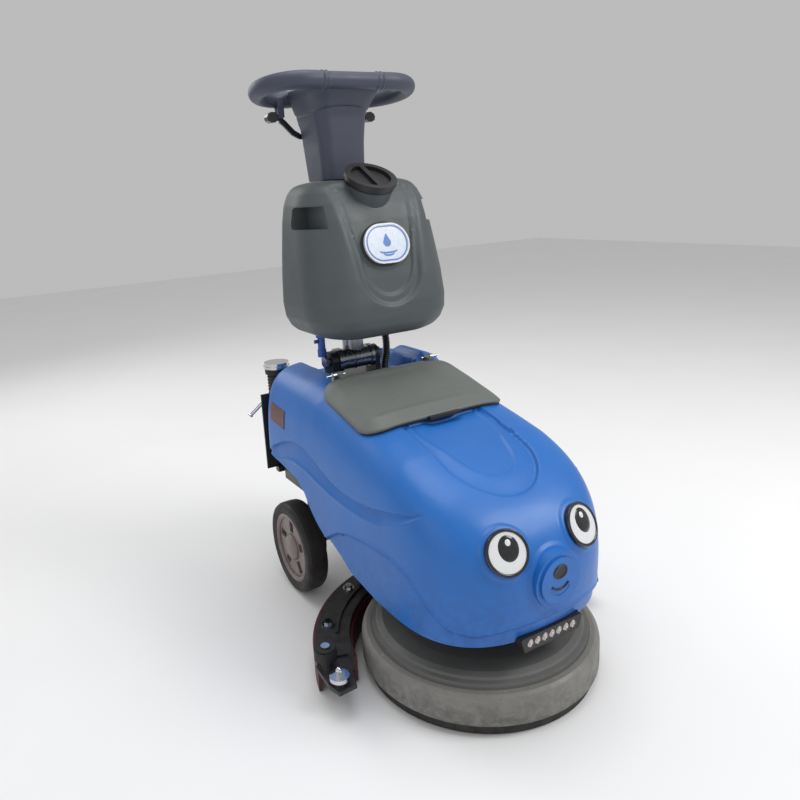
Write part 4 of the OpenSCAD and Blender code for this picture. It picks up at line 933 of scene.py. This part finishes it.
def nose():
    # a flat dark disc paints the shade of the nose hole, and a plain mouth line runs on the boss
    v, f = lathe([(0.01, -206.5), (9.0, -206.5), (10.2, -206.9), (9.6, -207.6), (8.0, -207.2), (7.4, -204.2), (0.01, -204.0)], 48)
    v = np.stack([v[:, 0] * 1.4, v[:, 2], v[:, 1] * 1.15 + 266], 1)
    piece("nose_hole", v, f, "smile_ink_and_hole_shade", "chassis", (), weld=2e-5, sharp=40)
    P = [[17 * math.sin(a), -206.3, 247 - 17 * math.cos(a)] for a in np.linspace(-1.15, 1.15, 40)]
    P = np.array(P)
    P[:, 2] = 249 - 12.5 * np.cos(np.linspace(-1.15, 1.15, 40)) * 1.0
    v, f = tube(P, 1.7, 12)
    parts = [(v, f)]
    for sgn in (-1, 1):
        e = np.array([sgn * 17 * math.sin(1.15), -206.3, 249 - 12.5 * math.cos(1.15)])
        q_ = np.array([e + [sgn * t * 3.2, 0, 3.4 * (0.5 - abs(t - 0.0)) - 1.0] for t in np.linspace(-0.9, 0.9, 9)])
        v2, f2 = tube(q_, 1.0, 10)
        parts.append((v2, f2))
    v, f = join(parts)
    piece("smile_line", v, f, "smile_ink_and_hole_shade", "chassis", (), sharp=60)


def lamp():
    parts = []
    for i in range(-3, 4):
        v, f = lathe([(2.2, -181.9), (6.8, -186.0), (7.5, -189.8), (7.1, -190.3), (6.5, -189.0), (2.6, -184.2)], 32)
        parts.append((np.stack([v[:, 0] + i * 15.2, v[:, 2], v[:, 1] + 148.5], 1), f))
    v, f = join(parts)
    piece("lamp_reflectors", v, f, "reflect", "chassis", (), sharp=40)


def side_plate():
    # blank plate that follows the body's left side
    parts_v, parts_f = [], []
    nu, nv = 24, 14
    top, mid = [], []
    for i in range(nu + 1):
        for j in range(nv + 1):
            y = 393 + 78 * i / nu
            z = 377 + 38 * j / nv + 6 * (i / nu)
            mid.append([y, z])
    yz = np.array(mid)
    # x on the body's side at that height
    kz = np.clip((yz[:, 1] - LOW) / (height(yz[:, 0]) - LOW), 0, 0.999)
    yy2 = np.clip((yz[:, 0] - Y2) / (YR - Y2), 0, 1)
    x = -HW * (np.clip((1 - kz ** 6) ** (1 / 6.0), 0, 1) ** PE - yy2 ** PE).clip(0.01) ** (1 / PE)
    V = []
    for off in (0.2, 1.3):
        V.append(np.stack([x - off, yz[:, 0], yz[:, 1]], 1))
    V = np.concatenate(V)
    n1 = (nu + 1) * (nv + 1)

    def idx(i, j, k=0):
        return k * n1 + i * (nv + 1) + j
    F = []
    for i in range(nu):
        for j in range(nv):
            F.append([idx(i, j, 1), idx(i, j + 1, 1), idx(i + 1, j + 1, 1), idx(i + 1, j, 1)])
            F.append([idx(i, j), idx(i + 1, j), idx(i + 1, j + 1), idx(i, j + 1)])
    for i in range(nu):
        for j in (0, nv):
            q_ = [idx(i, j), idx(i + 1, j), idx(i + 1, j, 1), idx(i, j, 1)]
            F.append(q_)
    for j in range(nv):
        for i in (0, nu):
            F.append([idx(i, j), idx(i, j + 1), idx(i, j + 1, 1), idx(i, j, 1)])
    piece("side_plate_blank", V, F, "plate", "chassis", (), sharp=50)


def bristles():
    parts = []
    for rr, cnt in ((190, 96), (181, 92), (172, 88), (163.5, 84), (133, 68), (124, 64), (115, 60), (108.5, 56)):
        for i in range(cnt):
            a = 2 * math.pi * (i + (0.5 if int(rr) % 2 else 0)) / cnt
            jx, jy = rng.uniform(-1.0, 1.0, 2)
            cx, cy = rr * math.cos(a), rr * math.sin(a)
            ring = [[math.cos(t) * 1.0, math.sin(t) * 1.0] for t in np.linspace(0, 2 * math.pi, 7, endpoint=False)]
            V = [[cx + 2.6 * p[0], cy + 2.6 * p[1], 30.0] for p in ring] + [[cx + jx + 4.2 * p[0], cy + jy + 4.2 * p[1], 0.4] for p in ring]
            F = [[j, (j + 1) % 7, 7 + (j + 1) % 7, 7 + j] for j in range(7)] + [list(range(7))[::-1], list(range(7, 14))]
            parts.append((np.array(V), F))
    v, f = join(parts)
    piece("brush_tufts", v, f, "bristle", "brush", ["brush_bristles"], sharp=40)


def panel_marks():
    # small round indicator lamps and a screen frame on the control panel
    parts = []
    for i, x in enumerate((-20, -8, 4, 16, 28)):
        v, f = dome(2.6, 2.6, 1.2, 20, 3)
        parts.append((v + [x, 424 - 14, 1060.05], f))
    v, f = join(parts)
    piece("panel_lamps", v, f, "green", "handle", (), sharp=50)
    fr = []
    P = rrect(-30, 38, 386, 402, 3, 4)
    v, f = prism(P, 1060.05, 1061.0)
    fr.append((v, f))
    v, f = join(fr)
    piece("panel_window", v, f, "pupil", "handle", (), sharp=30)


body()
lid()
tank()
badge()
cover()
handlebar()
h = hoses()
c_ = conduit()
tuple(row([74, 405, 466.0]))
tuple(row([76, 405, 560.0]))
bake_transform(c_)
tuple(row([-169, 400, 286.0]))
tuple(row([-92, 253, 92.0]))
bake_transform(h)
drain()
eyes()
nose()
lamp()
side_plate()
bristles()
panel_marks()

# ------------------------------------------------------------------ stage, lights, camera
bpy.ops.mesh.primitive_plane_add(size=14.0, location=(0, 0, -0.0005))
floor = bpy.context.object
floor.name = "floor"
fm = bpy.data.materials.new("FloorPale")
fm.use_nodes = True
fn = fm.node_tree.nodes
fb = fn["Principled BSDF"]
fb.inputs["Roughness"].default_value = 0.9
fb.inputs["Specular IOR Level"].default_value = 0.1
tcf = fn.new("ShaderNodeTexCoord")
nf = fn.new("ShaderNodeTexNoise")
nf.inputs["Scale"].default_value = 3.0
mf = fn.new("ShaderNodeMix")
mf.data_type = "RGBA"
mf.inputs[6].default_value = (0.86, 0.86, 0.86, 1)
mf.inputs[7].default_value = (0.90, 0.90, 0.90, 1)
fm.node_tree.links.new(tcf.outputs["Object"], nf.inputs["Vector"])
fm.node_tree.links.new(nf.outputs["Fac"], mf.inputs[0])
fm.node_tree.links.new(mf.outputs[2], fb.inputs["Base Color"])
floor.data.materials.append(fm)

world = bpy.data.worlds.new("World")
bpy.context.scene.world = world
world.use_nodes = True
world.node_tree.nodes["Background"].inputs[0].default_value = (1.0, 1.0, 1.0, 1)
world.node_tree.nodes["Background"].inputs[1].default_value = 0.50


def area(name, loc, target, size, power, color=(1, 1, 1)):
    ld = bpy.data.lights.new(name, "AREA")
    ld.energy = power
    ld.size = size
    ld.color = color
    lo = bpy.data.objects.new(name, ld)
    lo.location = loc
    d = Vector(target) - Vector(loc)
    lo.rotation_euler = d.to_track_quat("-Z", "Y").to_euler()
    bpy.context.scene.collection.objects.link(lo)


area("key", (1.5, -1.7, 2.4), (0, 0, 0.45), 1.3, 40)
area("top", (0.2, 0.1, 3.0), (0, 0, 0.4), 1.8, 26)
area("fill", (-2.4, -0.9, 1.3), (0, 0, 0.5), 1.8, 7, (0.86, 0.90, 1.0))
area("rim", (-0.8, 2.4, 1.8), (0, 0.1, 0.6), 1.4, 14)

cam = bpy.data.cameras.new("camera")
cam.sensor_width = 36.0
cam.lens = 704.875 / 800.0 * 36.0
cam.shift_x = (400.0 - 358.445) / 800.0
cam.shift_y = -(400.0 - 365.631) / 800.0
cam.dof.use_dof = False
co = bpy.data.objects.new("camera", cam)
rt = Vector((0.8657772762976317, -0.4967803371190602, -0.06032416181371534))
up = Vector((0.170494475636928, 0.1794831751158481, 0.9688743074453068))
fw = Vector((0.47049053298014765, 0.8491142953114185, -0.2400907575769003))
rot = Matrix(((rt.x, up.x, -fw.x), (rt.y, up.y, -fw.y), (rt.z, up.z, -fw.z)))
co.matrix_world = Matrix.Translation(Vector((-0.724949, -0.914986 - Y0 / 1000.0, 0.851830))) @ rot.to_4x4()
bpy.context.scene.collection.objects.link(co)
bpy.context.scene.camera = co
bpy.context.scene.view_settings.view_transform = "Standard"
